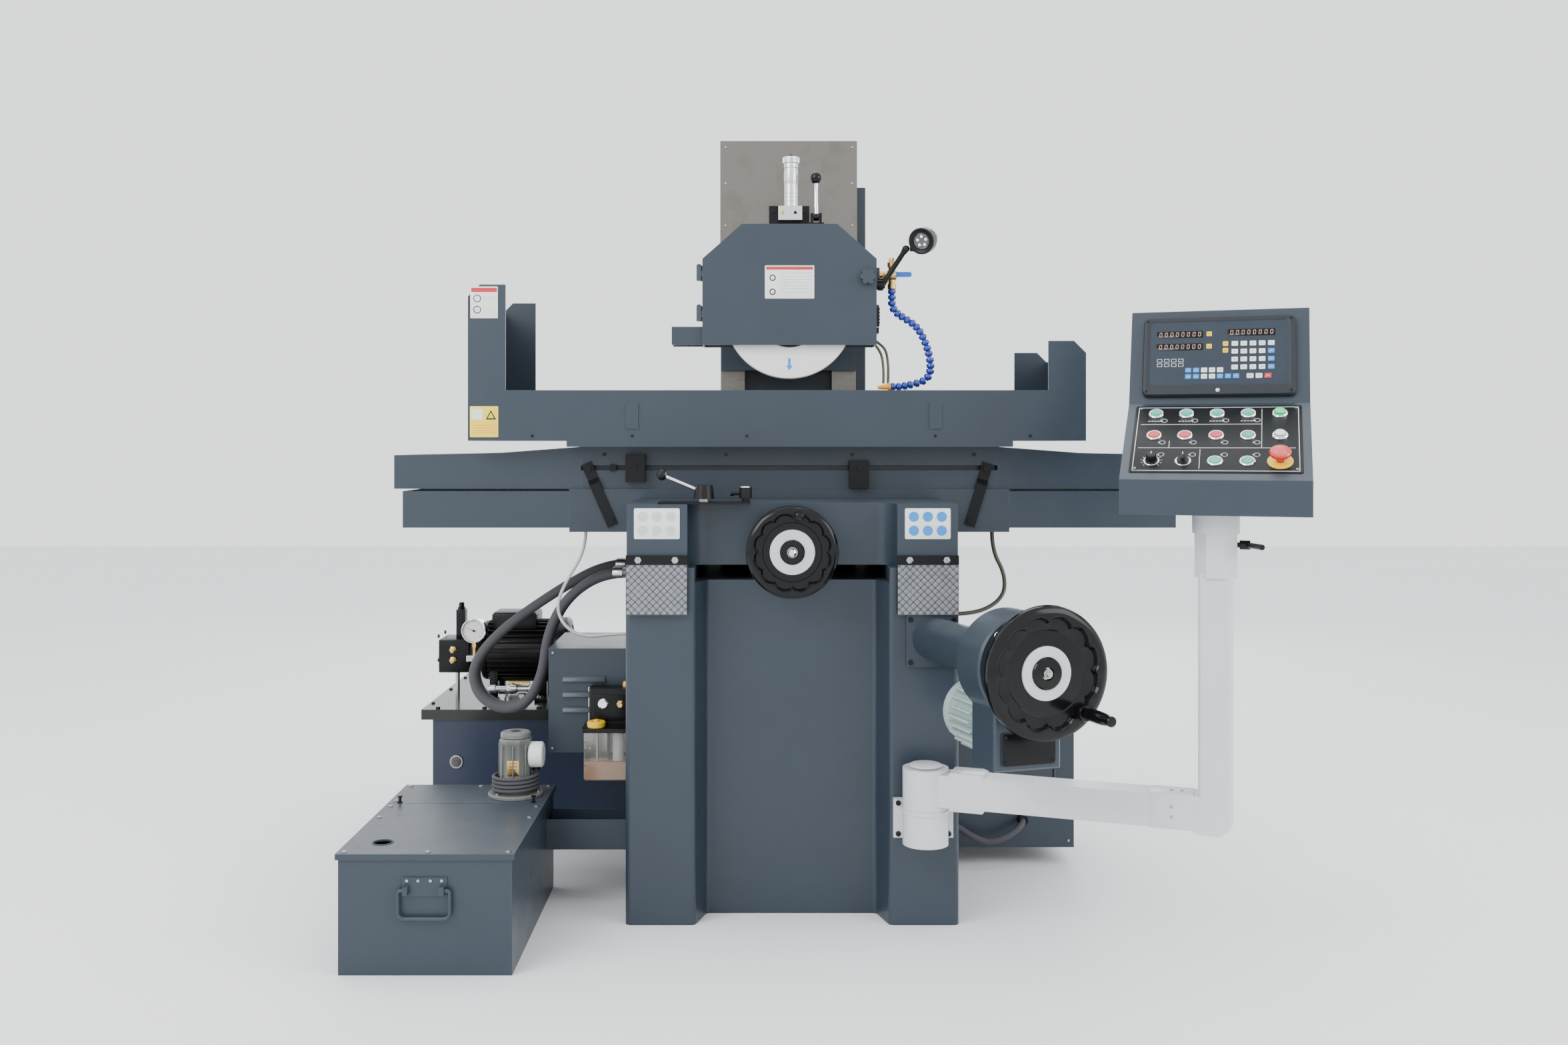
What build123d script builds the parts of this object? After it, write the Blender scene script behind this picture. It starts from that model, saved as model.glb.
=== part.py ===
"""Hydraulic surface grinder with a moving table, an electric head lift and a swinging control console.

Millimetres, +Z up, the operator stands at -Y. The origin is the middle of the base's footprint on the floor.
"""
import os
from math import cos, hypot, pi, radians, sin, sqrt, tan

from build123d import *

os.makedirs("parts", exist_ok=True)

# ---- driving sizes ----
base_w = 720
base_d = 1080
way_z = 770
bed_z = 737
way_w = 150
leg_recess = 78
cast_wall = 30
trough_reach = 193
trough_y0 = -382
trough_y1 = -284
trough_z0 = 117
trough_z1 = 185
trough_wall = 4

saddle_w = 1044
saddle_front = -237
saddle_h = 102
saddle_d = 387
apron_h = 137
apron_reach = 313
chip_groove = 14

table_w = 990
table_d = 282
table_h = 100
wing_reach = 445
cylinder_reach = 395

chuck_l = 610
chuck_w = 254
chuck_h = 80

pan_left = -750
pan_right = 690
pan_d = 440
pan_h = 132
left_guard_h = 378
right_guard_h = 247
end_guard_w = 88

wheel_d = 305
wheel_t = 38
wheel_bore = 127
wheel_z = 1345
guard_w = 410
guard_h = 285
guard_t = 85

column_w = 359
column_d = 357
column_h = 1010
column_front = 163
cover_h = 277

cross_wheel_d = 200
lift_wheel_d = 250
lift_yaw = 18
lift_reach = 501

arm_yaw = -20
arm_reach = 582
post_w = 65
console_w = 350

coolant_w = 340
coolant_d = 546
coolant_h = 238
hydraulic_w = 551
hydraulic_d = 670
hydraulic_h = 355
cabinet_w = 344
cabinet_d = 300
cabinet_h = 486

# ---- clearances and stock ----
gap = 0.3
fit = 0.05
sheet = 3

# ---- places worked out from the sizes ----
half_w = base_w / 2
front_y = -base_d / 2
back_y = base_d / 2
way_x = half_w - way_w
recess_y = front_y + leg_recess
saddle_z0 = way_z + gap
saddle_z1 = saddle_z0 + 160
body_z0 = saddle_z1 - saddle_h
apron_z1 = saddle_z0 + apron_h
apron_front = saddle_front - apron_reach
apron_wall = apron_front + 90
table_z0 = saddle_z1 + gap
table_z1 = table_z0 + table_h
table_front = saddle_front + 10
table_back = table_front + table_d
table_x = table_w / 2
wing_x = table_x + wing_reach
chuck_y = table_front + table_d / 2
chuck_z1 = table_z1 + chuck_h
pan_front = chuck_y - 211
pan_back = pan_front + pan_d
wheel_y = column_front - 370 - wheel_t / 2
guard_back = column_front - 340
guard_front = guard_back - guard_t
guard_z0 = wheel_z - 75
guard_z1 = guard_z0 + guard_h
guard_x = guard_w / 2
column_x0 = -column_w / 2 + 5.5
column_x1 = column_w / 2 + 5.5
column_z1 = way_z + column_h
END_AT_START = (Align.CENTER, Align.CENTER, Align.MIN)


def block(x0, x1, y0, y1, z0, z1, mode=Mode.ADD):
    """Add or cut a box between two corners in the open part."""
    with Locations(((x0 + x1) / 2, (y0 + y1) / 2, (z0 + z1) / 2)):
        Box(x1 - x0, y1 - y0, z1 - z0, mode=mode)


def rod(start, direction, radius, length, mode=Mode.ADD):
    """Add or cut a cylinder that starts at a point and runs along a direction."""
    with Locations(Plane(origin=start, z_dir=direction)):
        Cylinder(radius, length, align=END_AT_START, mode=mode)


def cord_radii(points):
    """The bend radius at each inner corner of a cord's route."""
    radii = []
    for before, here, after in zip(points, points[1:], points[2:]):
        come = Vector(*here) - Vector(*before)
        leave = Vector(*after) - Vector(*here)
        half_turn = radians(come.get_angle(leave)) / 2
        radii.append(0.45 * min(come.length, leave.length) / tan(half_turn))
    return radii


def cord(points, radius):
    """Add a round cord along straight runs that are joined by tangent arcs."""
    radii = cord_radii(points)
    with BuildLine() as route:
        FilletPolyline(*points, radius=radii)
    path = route.wire()
    with BuildSketch(Plane(origin=path @ 0, z_dir=path % 0)) as section:
        Circle(radius)
    sweep(sections=section.sketch, path=path)
    print("cord radius", radius, "length", round(path.length), "bends", [round(r) for r in radii])


# ======== the bed ========

with BuildPart() as base_casting:
    with BuildSketch() as footprint:
        with BuildLine():
            Polyline(
                (-half_w, front_y),
                (-way_x, front_y),
                (-way_x + 23, recess_y),
                (way_x - 23, recess_y),
                (way_x, front_y),
                (half_w, front_y),
                (half_w, back_y),
                (-half_w, back_y),
                close=True,
            )
        make_face()
        fillet(footprint.vertices(), 12)
    extrude(amount=way_z)
    block(-way_x, way_x, front_y, column_front, bed_z, way_z, Mode.SUBTRACT)
    block(
        cast_wall - half_w,
        half_w - cast_wall,
        recess_y + cast_wall,
        back_y - cast_wall,
        cast_wall,
        bed_z - cast_wall,
        Mode.SUBTRACT,
    )
    block(-150, 150, back_y - cast_wall, back_y, 150, 450, Mode.SUBTRACT)
    # trough that leads the returning coolant into the tank beside the bed
    trough_x0 = -half_w - trough_reach
    block(trough_x0, -half_w, trough_y0, trough_y1, trough_z0, trough_z1)
    trough_floor = trough_z0 + trough_wall
    mouth_y0 = trough_y0 + trough_wall
    mouth_y1 = trough_y1 - trough_wall
    block(trough_x0, -half_w, mouth_y0, mouth_y1, trough_floor, trough_z1, Mode.SUBTRACT)
    # boss on the left wall that the hydraulic hoses end on
    block(-half_w - 36, -half_w, -140, 10, way_z - 82, way_z - 4)
base_casting.part.label = "base_casting"
export_step(base_casting.part, "parts/base_casting.step")

column_mid_x0 = column_x0 + 64
column_mid_x1 = column_x1 - 64
column_back = column_front + column_d

with BuildPart() as column:
    block(column_x0, column_x1, column_front, column_back, way_z, column_z1)
    fillet(column.edges().filter_by(Axis.Z).group_by(Axis.Y)[-1], 20)
    block(column_mid_x0, column_mid_x1, column_front, column_front + 42, way_z + 120, column_z1, Mode.SUBTRACT)
    block(
        column_x0 + cast_wall,
        column_x1 - cast_wall,
        column_front + 72,
        column_back - cast_wall,
        way_z,
        column_z1 - cast_wall,
        Mode.SUBTRACT,
    )
    # linear scale beside the right way
    block(column_x1, column_x1 + 26, column_front + 10, column_front + 46, way_z + 330, column_z1 - 60)
column.part.label = "column"
export_step(column.part, "parts/column.step")

# ======== saddle, which slides to and fro on the bed ========

side_block_w = way_w - 20
apron_x = half_w - 4
cross_wheel_z = way_z + 35
shaft_r = 12

with BuildPart() as saddle_casting:
    with BuildSketch(Plane.XY.offset(saddle_z0)) as apron:
        with BuildLine():
            Polyline(
                (-apron_x, saddle_front),
                (-apron_x, apron_front),
                (-apron_x + side_block_w, apron_front),
                (-apron_x + side_block_w, apron_wall),
                (apron_x - side_block_w, apron_wall),
                (apron_x - side_block_w, apron_front),
                (apron_x, apron_front),
                (apron_x, saddle_front),
                close=True,
            )
        make_face()
        inner_corners = apron.vertices().filter_by_position(Axis.Y, apron_wall - 1, apron_wall + 1)
        fillet(inner_corners, 38)
    extrude(amount=apron_h)
    block(-apron_x + 40, apron_x - 40, apron_wall + 40, saddle_front, saddle_z0, apron_z1 - 25, Mode.SUBTRACT)
    block(-apron_x, apron_x, saddle_front - chip_groove, saddle_front, body_z0, apron_z1, Mode.SUBTRACT)
    block(-apron_x, apron_x, saddle_front - 1, saddle_front + saddle_d, saddle_z0, body_z0)
    block(-saddle_w / 2, saddle_w / 2, saddle_front, saddle_front + saddle_d, body_z0, saddle_z1)
    hollow_y1 = saddle_front + saddle_d - 60
    block(-way_x, way_x, saddle_front + 60, hollow_y1, saddle_z0, body_z0 + 40, Mode.SUBTRACT)
    # bearing boss of the cross feed screw
    rod((0, apron_wall, cross_wheel_z), (0, -1, 0), 33, 60)
    rod((0, apron_wall - 60, cross_wheel_z), (0, 1, 0), shaft_r + fit, 95, Mode.SUBTRACT)
saddle_casting.part.label = "saddle_casting"
export_step(saddle_casting.part, "parts/saddle_casting.step")

cover_z0 = saddle_z1 - 92
cover_z1 = saddle_z1 - 5
cover_y1 = saddle_front + 210
cover_mid_y = (saddle_front + cover_y1) / 2

with BuildPart() as cylinder_covers:
    for side in (-1, 1):
        inner = side * saddle_w / 2
        outer = inner + side * cylinder_reach
        low, high = sorted((inner, outer))
        block(low, high, saddle_front, cover_y1, cover_z0, cover_z1)
        low, high = sorted((inner, outer - side * sheet))
        block(low, high, saddle_front + sheet, cover_y1 - sheet, cover_z0, cover_z1 - sheet, Mode.SUBTRACT)
        rod((inner, cover_mid_y, (cover_z0 + cover_z1) / 2), (side, 0, 0), 32, cylinder_reach - sheet)
cylinder_covers.part.label = "cylinder_covers"
export_step(cylinder_covers.part, "parts/cylinder_covers.step")

flap_z0 = way_z - 100
flap_z1 = way_z + 28
clamp_h = 19
flap_t = 5
flap_w = side_block_w + 2

lever_plate_x0 = -290
lever_plate_x1 = -90
lever_plate_t = 4
lever_y = apron_front + 53
table_lever_x = -192
reversing_x = -101
pivot_r = 6

with BuildPart() as apron_fittings:
    for side in (-1, 1):
        middle = side * (apron_x - side_block_w / 2)
        left = middle - flap_w / 2
        right = middle + flap_w / 2
        strip_back = apron_front - flap_t - gap
        block(left, right, apron_front - flap_t, apron_front, flap_z0, flap_z1)
        block(left, right, strip_back - 4, strip_back, flap_z1 - clamp_h, flap_z1)
        for x in (middle - flap_w * 0.3, middle + flap_w * 0.3):
            rod((x, strip_back - 4, flap_z1 - clamp_h / 2), (0, -1, 0), 4.5, 4)
    block(lever_plate_x0, lever_plate_x1, lever_y - 40, lever_y + 48, apron_z1, apron_z1 + lever_plate_t)
    for x in (table_lever_x, reversing_x):
        rod((x, lever_y, apron_z1), (0, 0, 1), pivot_r + fit, lever_plate_t, Mode.SUBTRACT)
apron_fittings.part.label = "apron_fittings"
export_step(apron_fittings.part, "parts/apron_fittings.step")

hub_z0 = apron_z1 + lever_plate_t + gap

with BuildPart() as table_lever:
    rod((table_lever_x, lever_y, apron_z1), (0, 0, 1), pivot_r, lever_plate_t + gap)
    rod((table_lever_x, lever_y, hub_z0), (0, 0, 1), 12, 6)
    with Locations((table_lever_x, lever_y, hub_z0 + 6)):
        Cone(23, 19, 30, align=END_AT_START)
    arm_start = (table_lever_x - 12, lever_y, hub_z0 + 24)
    arm_tip = (table_lever_x - 92, lever_y, hub_z0 + 58)
    arm_way = (arm_tip[0] - arm_start[0], 0, arm_tip[2] - arm_start[2])
    rod(arm_start, arm_way, 4, hypot(arm_way[0], arm_way[2]))
    with Locations(Plane(origin=arm_tip, z_dir=arm_way)):
        Sphere(12)
table_lever.part.label = "table_lever"
export_step(table_lever.part, "parts/table_lever.step")

with BuildPart() as reversing_knob:
    rod((reversing_x, lever_y, apron_z1), (0, 0, 1), pivot_r, lever_plate_t + gap)
    rod((reversing_x, lever_y, hub_z0), (0, 0, 1), 8, 7)
    rod((reversing_x, lever_y, hub_z0 + 7), (0, 0, 1), 14, 26)
    chamfer(reversing_knob.faces().sort_by(Axis.Z)[-1].edges(), 2)
    rod((reversing_x - 13, lever_y, hub_z0 + 18), (-1, 0, 0), 4, 12)
    rod((reversing_x - 25, lever_y, hub_z0 + 18), (-1, 0, 0), 6, 8)
reversing_knob.part.label = "reversing_knob"
export_step(reversing_knob.part, "parts/reversing_knob.step")

cross_r = cross_wheel_d / 2
boss_end = apron_wall - 60

dial_back = boss_end - gap
dial_front = dial_back - 26
rim_face = dial_front - 22

with BuildPart() as cross_handwheel:
    with BuildSketch(Plane.YZ) as half_section:
        with BuildLine():
            Polyline(
                (dial_back, cross_wheel_z),
                (dial_back, cross_wheel_z + 38),
                (dial_front, cross_wheel_z + 38),
                (dial_front, cross_wheel_z + cross_r),
                (rim_face, cross_wheel_z + cross_r),
                (rim_face, cross_wheel_z + cross_r - 24),
                (rim_face + 12, cross_wheel_z + cross_r - 24),
                (rim_face + 12, cross_wheel_z + 27),
                (rim_face, cross_wheel_z + 27),
                (rim_face, cross_wheel_z + 15),
                (rim_face - 9, cross_wheel_z + 15),
                (rim_face - 9, cross_wheel_z),
                close=True,
            )
        make_face()
        rim_z = cross_wheel_z + cross_r
        fillet(half_section.vertices().filter_by_position(Axis.Y, rim_z - 1, rim_z + 1), 6)
    revolve(axis=Axis((0, 0, cross_wheel_z), (0, 1, 0)))
    rod((0, apron_wall + 20, cross_wheel_z), (0, -1, 0), shaft_r, 80 + gap)
    grip_way = radians(81)
    grip_reach = cross_r - 18
    grip_x = grip_reach * cos(grip_way)
    grip_z = cross_wheel_z + grip_reach * sin(grip_way)
    rod((grip_x, rim_face + 6, grip_z), (0, -1, 0), 6, 18)
    rod((grip_x, rim_face - 12, grip_z), (0, -1, 0), 11, 62)
cross_handwheel.part.label = "cross_handwheel"
export_step(cross_handwheel.part, "parts/cross_handwheel.step")

# ======== table, which slides left and right on the saddle ========

slot_z = table_z0 + 50

with BuildPart() as table_casting:
    block(-table_x, table_x, table_front, table_back, table_z0, table_z1)
    block(-table_x, table_x, table_front, table_front + 14, slot_z - 6, slot_z + 6, Mode.SUBTRACT)
    block(-table_x, table_x, table_front + 14, table_front + 23, slot_z - 11, slot_z + 11, Mode.SUBTRACT)
    block(-table_x + 60, table_x - 60, table_front + 60, table_back - 60, table_z0, table_z0 + 55, Mode.SUBTRACT)
table_casting.part.label = "table_casting"
export_step(table_casting.part, "parts/table_casting.step")

wing_drop = 15

with BuildPart() as table_way_covers:
    for side in (-1, 1):
        with BuildSketch(Plane.XZ.offset(-table_front)):
            with BuildLine():
                Polyline(
                    (side * table_x, table_z0),
                    (side * wing_x, table_z0),
                    (side * wing_x, table_z1 - wing_drop - 5),
                    (side * (table_x + wing_reach * 0.45), table_z1 - wing_drop),
                    (side * table_x, table_z1),
                    close=True,
                )
            make_face()
        extrude(amount=-table_d)
        low, high = sorted((side * table_x, side * (wing_x - sheet)))
        deep = table_h - wing_drop - 5 - sheet
        block(low, high, table_front + sheet, table_back - sheet, table_z0, table_z0 + deep, Mode.SUBTRACT)
table_way_covers.part.label = "table_way_covers"
export_step(table_way_covers.part, "parts/table_way_covers.step")

with BuildPart() as magnetic_chuck:
    block(
        -chuck_l / 2,
        chuck_l / 2,
        chuck_y - chuck_w / 2,
        chuck_y + chuck_w / 2,
        table_z1,
        chuck_z1,
    )
    chamfer(magnetic_chuck.faces().sort_by(Axis.Z)[-1].edges(), 1)
    for side in (-1, 1):
        with Locations((side * (chuck_l / 2 - 8), chuck_y, table_z1 + 10)):
            Box(17, 60, 20, mode=Mode.SUBTRACT)
    rod((chuck_l / 2 - 60, chuck_y - chuck_w / 2, table_z1 + 40), (0, -1, 0), 14, 8)
magnetic_chuck.part.label = "magnetic_chuck"
export_step(magnetic_chuck.part, "parts/magnetic_chuck.step")

pan_rise = 14
pan_z1 = table_z1 + pan_h
left_top = table_z1 + left_guard_h
right_top = table_z1 + right_guard_h
end_chamfer = 28

with BuildPart() as splash_guards:
    block(pan_left, pan_right, pan_front, pan_back, table_z1, pan_z1)
    inner_left = pan_left + sheet
    inner_right = pan_right - sheet
    inner_front = pan_front + sheet
    inner_back = pan_back - sheet
    block(inner_left, inner_right, inner_front, inner_back, table_z1 + sheet, pan_z1, Mode.SUBTRACT)
    for low, high in ((pan_left, -table_x - 25), (table_x + 25, pan_right)):
        block(low, high, pan_front, pan_back, table_z1, table_z1 + pan_rise, Mode.SUBTRACT)
        block(low, high, pan_front, pan_back, table_z1 + pan_rise, table_z1 + pan_rise + sheet)
    block(
        -chuck_l / 2 - gap,
        chuck_l / 2 + gap,
        chuck_y - chuck_w / 2 - gap,
        chuck_y + chuck_w / 2 + gap,
        table_z1,
        table_z1 + sheet,
        Mode.SUBTRACT,
    )
    for outer, inner, top in (
        (pan_left, pan_left + end_guard_w, left_top),
        (pan_right, pan_right - end_guard_w, right_top),
    ):
        low, high = sorted((outer, inner))
        side = 1 if outer > inner else -1
        block(low, high, pan_front, pan_back, table_z1 + pan_rise, top)
        low, high = sorted((outer - side * sheet, inner))
        block(low, high, pan_front + sheet, pan_back - sheet, table_z1 + pan_rise + sheet, top, Mode.SUBTRACT)
        low, high = sorted((outer, outer - side * end_chamfer))
        with BuildSketch(Plane.XZ.offset(-pan_front)):
            with BuildLine():
                Polyline((outer, top), (outer, top - end_chamfer), (outer - side * end_chamfer, top), close=True)
            make_face()
        extrude(amount=-pan_d, mode=Mode.SUBTRACT)
    for x in (-367, 339):
        block(x - 14, x + 14, pan_front - 3, pan_front, table_z1 + 42, table_z1 + 102)
splash_guards.part.label = "splash_guards"
export_step(splash_guards.part, "parts/splash_guards.step")

strap_w = 25
strap_t = 5.5
strap_top_z = slot_z - 2
strap_low_z = body_z0 + 26
dog_w = 46
dog_d = 30
dog_h = 66
left_dog_x = -364
right_dog_x = 165

with BuildPart() as table_dogs:
    for x, low in ((left_dog_x, slot_z - 34), (right_dog_x, slot_z - 49)):
        block(x - dog_w / 2, x + dog_w / 2, table_front - dog_d, table_front, low, low + dog_h)
        rod((x, table_front - dog_d, slot_z + 4 if low > slot_z - 40 else slot_z), (0, -1, 0), 6, 5)
    rod((left_dog_x - 56, table_front, slot_z), (0, -1, 0), 9, 8)
    # transport straps, bolted to the table and hanging in front of the saddle
    for top_x, low_x in ((-477, -423), (468, 430)):
        lean = Vector(low_x - top_x, 0, strap_low_z - strap_top_z)
        length = lean.length
        across = Vector(-lean.Z, 0, lean.X)
        step = table_front - saddle_front + gap
        strap_plane = Plane(origin=(top_x, table_front, strap_top_z), x_dir=lean.normalized(), z_dir=across)
        out = 1 if strap_plane.y_dir.Y < 0 else -1
        with BuildSketch(strap_plane):
            with BuildLine():
                Polyline(
                    (-14, 0),
                    (30, 0),
                    (42, out * step),
                    (length + 12, out * step),
                    (length + 12, out * (step + strap_t)),
                    (39, out * (step + strap_t)),
                    (27, out * strap_t),
                    (-14, out * strap_t),
                    close=True,
                )
            make_face()
        extrude(amount=strap_w / 2, both=True)
        rod((top_x, table_front - strap_t, strap_top_z), (0, -1, 0), 8, 6)
        rod((low_x, saddle_front - gap - strap_t, strap_low_z), (0, -1, 0), 8, 4)
table_dogs.part.label = "table_dogs"
export_step(table_dogs.part, "parts/table_dogs.step")

# ======== head, which slides up and down on the column ========

spindle_r = 25
shaft_fit = 0.06
head_z0 = wheel_z - 115
head_z1 = wheel_z + 200
slide_face = column_front - gap
slide_front = slide_face - 46

with BuildPart() as head_casting:
    block(column_x0 + 2, column_x1 - 2, slide_front, slide_face, head_z0, head_z1)
    block(column_mid_x0 + 6, column_mid_x1 - 6, slide_face, slide_face + 30, head_z0 + 20, head_z1 - 20)
    block(-82, 82, guard_back + 60, slide_front, wheel_z - 82, wheel_z + 82)
    fillet(head_casting.faces().sort_by(Axis.Y)[0].edges().filter_by(Axis.Z), 20)
    rod((0, guard_back, wheel_z), (0, 1, 0), 72, 62)
    rod((0, guard_back, wheel_z), (0, 1, 0), spindle_r + shaft_fit, 262, Mode.SUBTRACT)
    # reader of the linear scale, on an arm beside the right way
    block(column_x1 - 3, column_x1 + 58, slide_front + 6, slide_front + 16, wheel_z - 17, wheel_z + 58)
    block(column_x1 + 34, column_x1 + 58, slide_front + 16, slide_face + 20, wheel_z - 17, wheel_z + 58)
head_casting.part.label = "head_casting"
export_step(head_casting.part, "parts/head_casting.step")

cover_z_low = guard_z1 - 70
cover_top = guard_z1 + cover_h

with BuildPart() as column_way_cover:
    block(column_x0, column_x1, slide_front - 1.5, slide_front, cover_z_low, cover_top)
    for x in (column_x0, column_x1 - 1.5):
        block(x, x + 1.5, slide_front, slide_face - 14, head_z1 + 1, cover_top)
column_way_cover.part.label = "column_way_cover"
export_step(column_way_cover.part, "parts/column_way_cover.step")

guard_wall = 4
shoulder_z = guard_z1 - 82
shoulder_x = guard_x - 93
lip_x = guard_x + 73
hinge_x = -guard_x - 8
hinge_y = guard_front - gap - 2
hinge_r = 6
hinge_tops = (guard_z0 + 80, guard_z0 + 175)
knuckle = 12


def guard_outline(margin):
    """The front outline of the wheel guard as a face, drawn in by a margin."""
    with BuildSketch() as outline:
        with BuildLine():
            Polyline(
                (-guard_x, guard_z0),
                (-guard_x, shoulder_z),
                (-shoulder_x, guard_z1),
                (shoulder_x, guard_z1),
                (guard_x, shoulder_z),
                (guard_x, guard_z0),
                close=True,
            )
        make_face()
        if margin:
            offset(amount=-margin, kind=Kind.INTERSECTION, mode=Mode.REPLACE)
    return outline.sketch


with BuildPart() as wheel_guard:
    with BuildSketch(Plane.XZ.offset(-guard_back)):
        add(guard_outline(0))
    extrude(amount=guard_t)
    block(-lip_x, -guard_x, guard_front + 8, guard_back - 12, guard_z0 + 1, guard_z0 + 44)
    with BuildSketch(Plane.XZ.offset(-guard_back + guard_wall)):
        add(guard_outline(guard_wall))
    extrude(amount=guard_t, mode=Mode.SUBTRACT)
    block(
        guard_wall - guard_x,
        guard_x - guard_wall,
        guard_front,
        guard_back - guard_wall,
        guard_z0,
        guard_z0 + 20,
        Mode.SUBTRACT,
    )
    block(-lip_x, -guard_x + 5, guard_front + 11, guard_back - 15, guard_z0 + 1, guard_z0 + 41, Mode.SUBTRACT)
    rod((0, guard_back - 10, wheel_z), (0, 1, 0), spindle_r + 5, 20, Mode.SUBTRACT)
    for z in hinge_tops:
        for low in (z - 2 * knuckle, z):
            block(hinge_x, -guard_x, hinge_y + 2 + gap, guard_front + 12, low, low + knuckle)
            rod((hinge_x, hinge_y, low), (0, 0, 1), hinge_r, knuckle)
wheel_guard.part.label = "wheel_guard"
export_step(wheel_guard.part, "parts/wheel_guard.step")

star_x = guard_x - 22
star_z = wheel_z + 84

with BuildPart() as guard_door:
    with BuildSketch(Plane.XZ.offset(-guard_front + gap)):
        add(guard_outline(0))
    extrude(amount=guard_wall)
    for z in hinge_tops:
        block(hinge_x, -guard_x, hinge_y - 2, hinge_y + 2, z - knuckle + gap, z - gap)
        rod((hinge_x, hinge_y, z - knuckle + gap), (0, 0, 1), hinge_r, knuckle - 2 * gap)
    door_face = guard_front - gap - guard_wall
    rod((star_x, door_face, star_z), (0, -1, 0), 7, 8)
    with BuildSketch(Plane.XZ.offset(-door_face + 8)):
        with Locations((star_x, star_z)):
            Circle(14)
            with PolarLocations(13, 6):
                Circle(6)
    extrude(amount=13)
guard_door.part.label = "guard_door"
export_step(guard_door.part, "parts/guard_door.step")

with BuildPart() as grinding_wheel:
    rod((0, wheel_y - wheel_t / 2, wheel_z), (0, 1, 0), wheel_d / 2, wheel_t)
    chamfer(grinding_wheel.edges().filter_by(GeomType.CIRCLE), 1.5)
    rod((0, wheel_y - wheel_t / 2, wheel_z), (0, 1, 0), wheel_bore / 2, wheel_t, Mode.SUBTRACT)
grinding_wheel.part.label = "grinding_wheel"
export_step(grinding_wheel.part, "parts/grinding_wheel.step")

flange_r = wheel_bore / 2 + 16
wheel_front = wheel_y - wheel_t / 2
wheel_rear = wheel_y + wheel_t / 2

with BuildPart() as wheel_spindle:
    rod((0, wheel_front, wheel_z), (0, 1, 0), wheel_bore / 2 - fit, wheel_t)
    rod((0, wheel_front, wheel_z), (0, -1, 0), flange_r, 8)
    rod((0, wheel_rear, wheel_z), (0, 1, 0), flange_r, 8)
    rod((0, wheel_front - 8, wheel_z), (0, -1, 0), 20, 6)
    rod((0, wheel_rear, wheel_z), (0, 1, 0), spindle_r, guard_back - wheel_rear + 255)
wheel_spindle.part.label = "wheel_spindle"
export_step(wheel_spindle.part, "parts/wheel_spindle.step")

dresser_y = wheel_y
sleeve_r = 16
dresser_x = 4
sleeve_z0 = guard_z1 + 45
sleeve_z1 = guard_z1 + 98
lever_x = dresser_x + 60
dresser_pin_z = guard_z1 + 22

with BuildPart() as dresser_block:
    block(dresser_x - 52, dresser_x + 44, dresser_y + 2, dresser_y + 22, guard_z1, guard_z1 + 49)
    block(dresser_x - 30, dresser_x + 26, dresser_y - 24, dresser_y + 2, guard_z1 + 12, sleeve_z0)
    rod((dresser_x, dresser_y - 10, sleeve_z0), (0, 0, 1), sleeve_r, sleeve_z1 - sleeve_z0)
    rod((dresser_x, dresser_y - 10, sleeve_z1 - 20), (0, 0, 1), 6 + fit, 21, Mode.SUBTRACT)
    block(lever_x - 18, lever_x + 18, dresser_y - 22, dresser_y + 22, guard_z1, guard_z1 + 6)
    for side in (-1, 1):
        low, high = sorted((lever_x + side * 7, lever_x + side * 13))
        block(low, high, dresser_y - 12, dresser_y + 12, guard_z1, dresser_pin_z + 8)
    rod((lever_x - 13, dresser_y, dresser_pin_z), (1, 0, 0), 4, 26)
dresser_block.part.label = "dresser_block"
export_step(dresser_block.part, "parts/dresser_block.step")

with BuildPart() as dresser_dial:
    rod((dresser_x, dresser_y - 10, sleeve_z1 - 18), (0, 0, 1), 6, 18 + gap)
    rod((dresser_x, dresser_y - 10, sleeve_z1 + gap), (0, 0, 1), sleeve_r + 1, 48)
    rod((dresser_x, dresser_y - 10, sleeve_z1 + gap + 48), (0, 0, 1), sleeve_r + 4, 16)
    chamfer(dresser_dial.faces().sort_by(Axis.Z)[-1].edges(), 2)
    rod((dresser_x, dresser_y - 10, sleeve_z1 + gap + 64), (0, 0, 1), 5, 6)
dresser_dial.part.label = "dresser_dial"
export_step(dresser_dial.part, "parts/dresser_dial.step")

with BuildPart() as dresser_lever:
    rod((lever_x - 6, dresser_y, dresser_pin_z), (1, 0, 0), 9, 12)
    rod((lever_x, dresser_y, dresser_pin_z), (0, 0, 1), 5, 84)
    with Locations((lever_x, dresser_y, dresser_pin_z + 94)):
        Sphere(14)
    rod((lever_x - 7, dresser_y, dresser_pin_z), (1, 0, 0), 4 + fit, 14, Mode.SUBTRACT)
dresser_lever.part.label = "dresser_lever"
export_step(dresser_lever.part, "parts/dresser_lever.step")

# ---- coolant tap and its segmented hose ----

tap_x = guard_x + 41
tap_y = guard_front + 54
tap_z = guard_z1 - 114
nozzle_z = wheel_z - 169
hose_r = 7

hose_route = [
    (tap_x, tap_y, tap_z - 40),
    (tap_x + 6, tap_y, tap_z - 84),
    (tap_x + 62, tap_y, tap_z - 128),
    (tap_x + 90, tap_y, tap_z - 196),
    (tap_x + 84, tap_y, tap_z - 246),
    (tap_x + 30, tap_y, nozzle_z),
    (tap_x - 4, tap_y, nozzle_z - 2),
]

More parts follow.
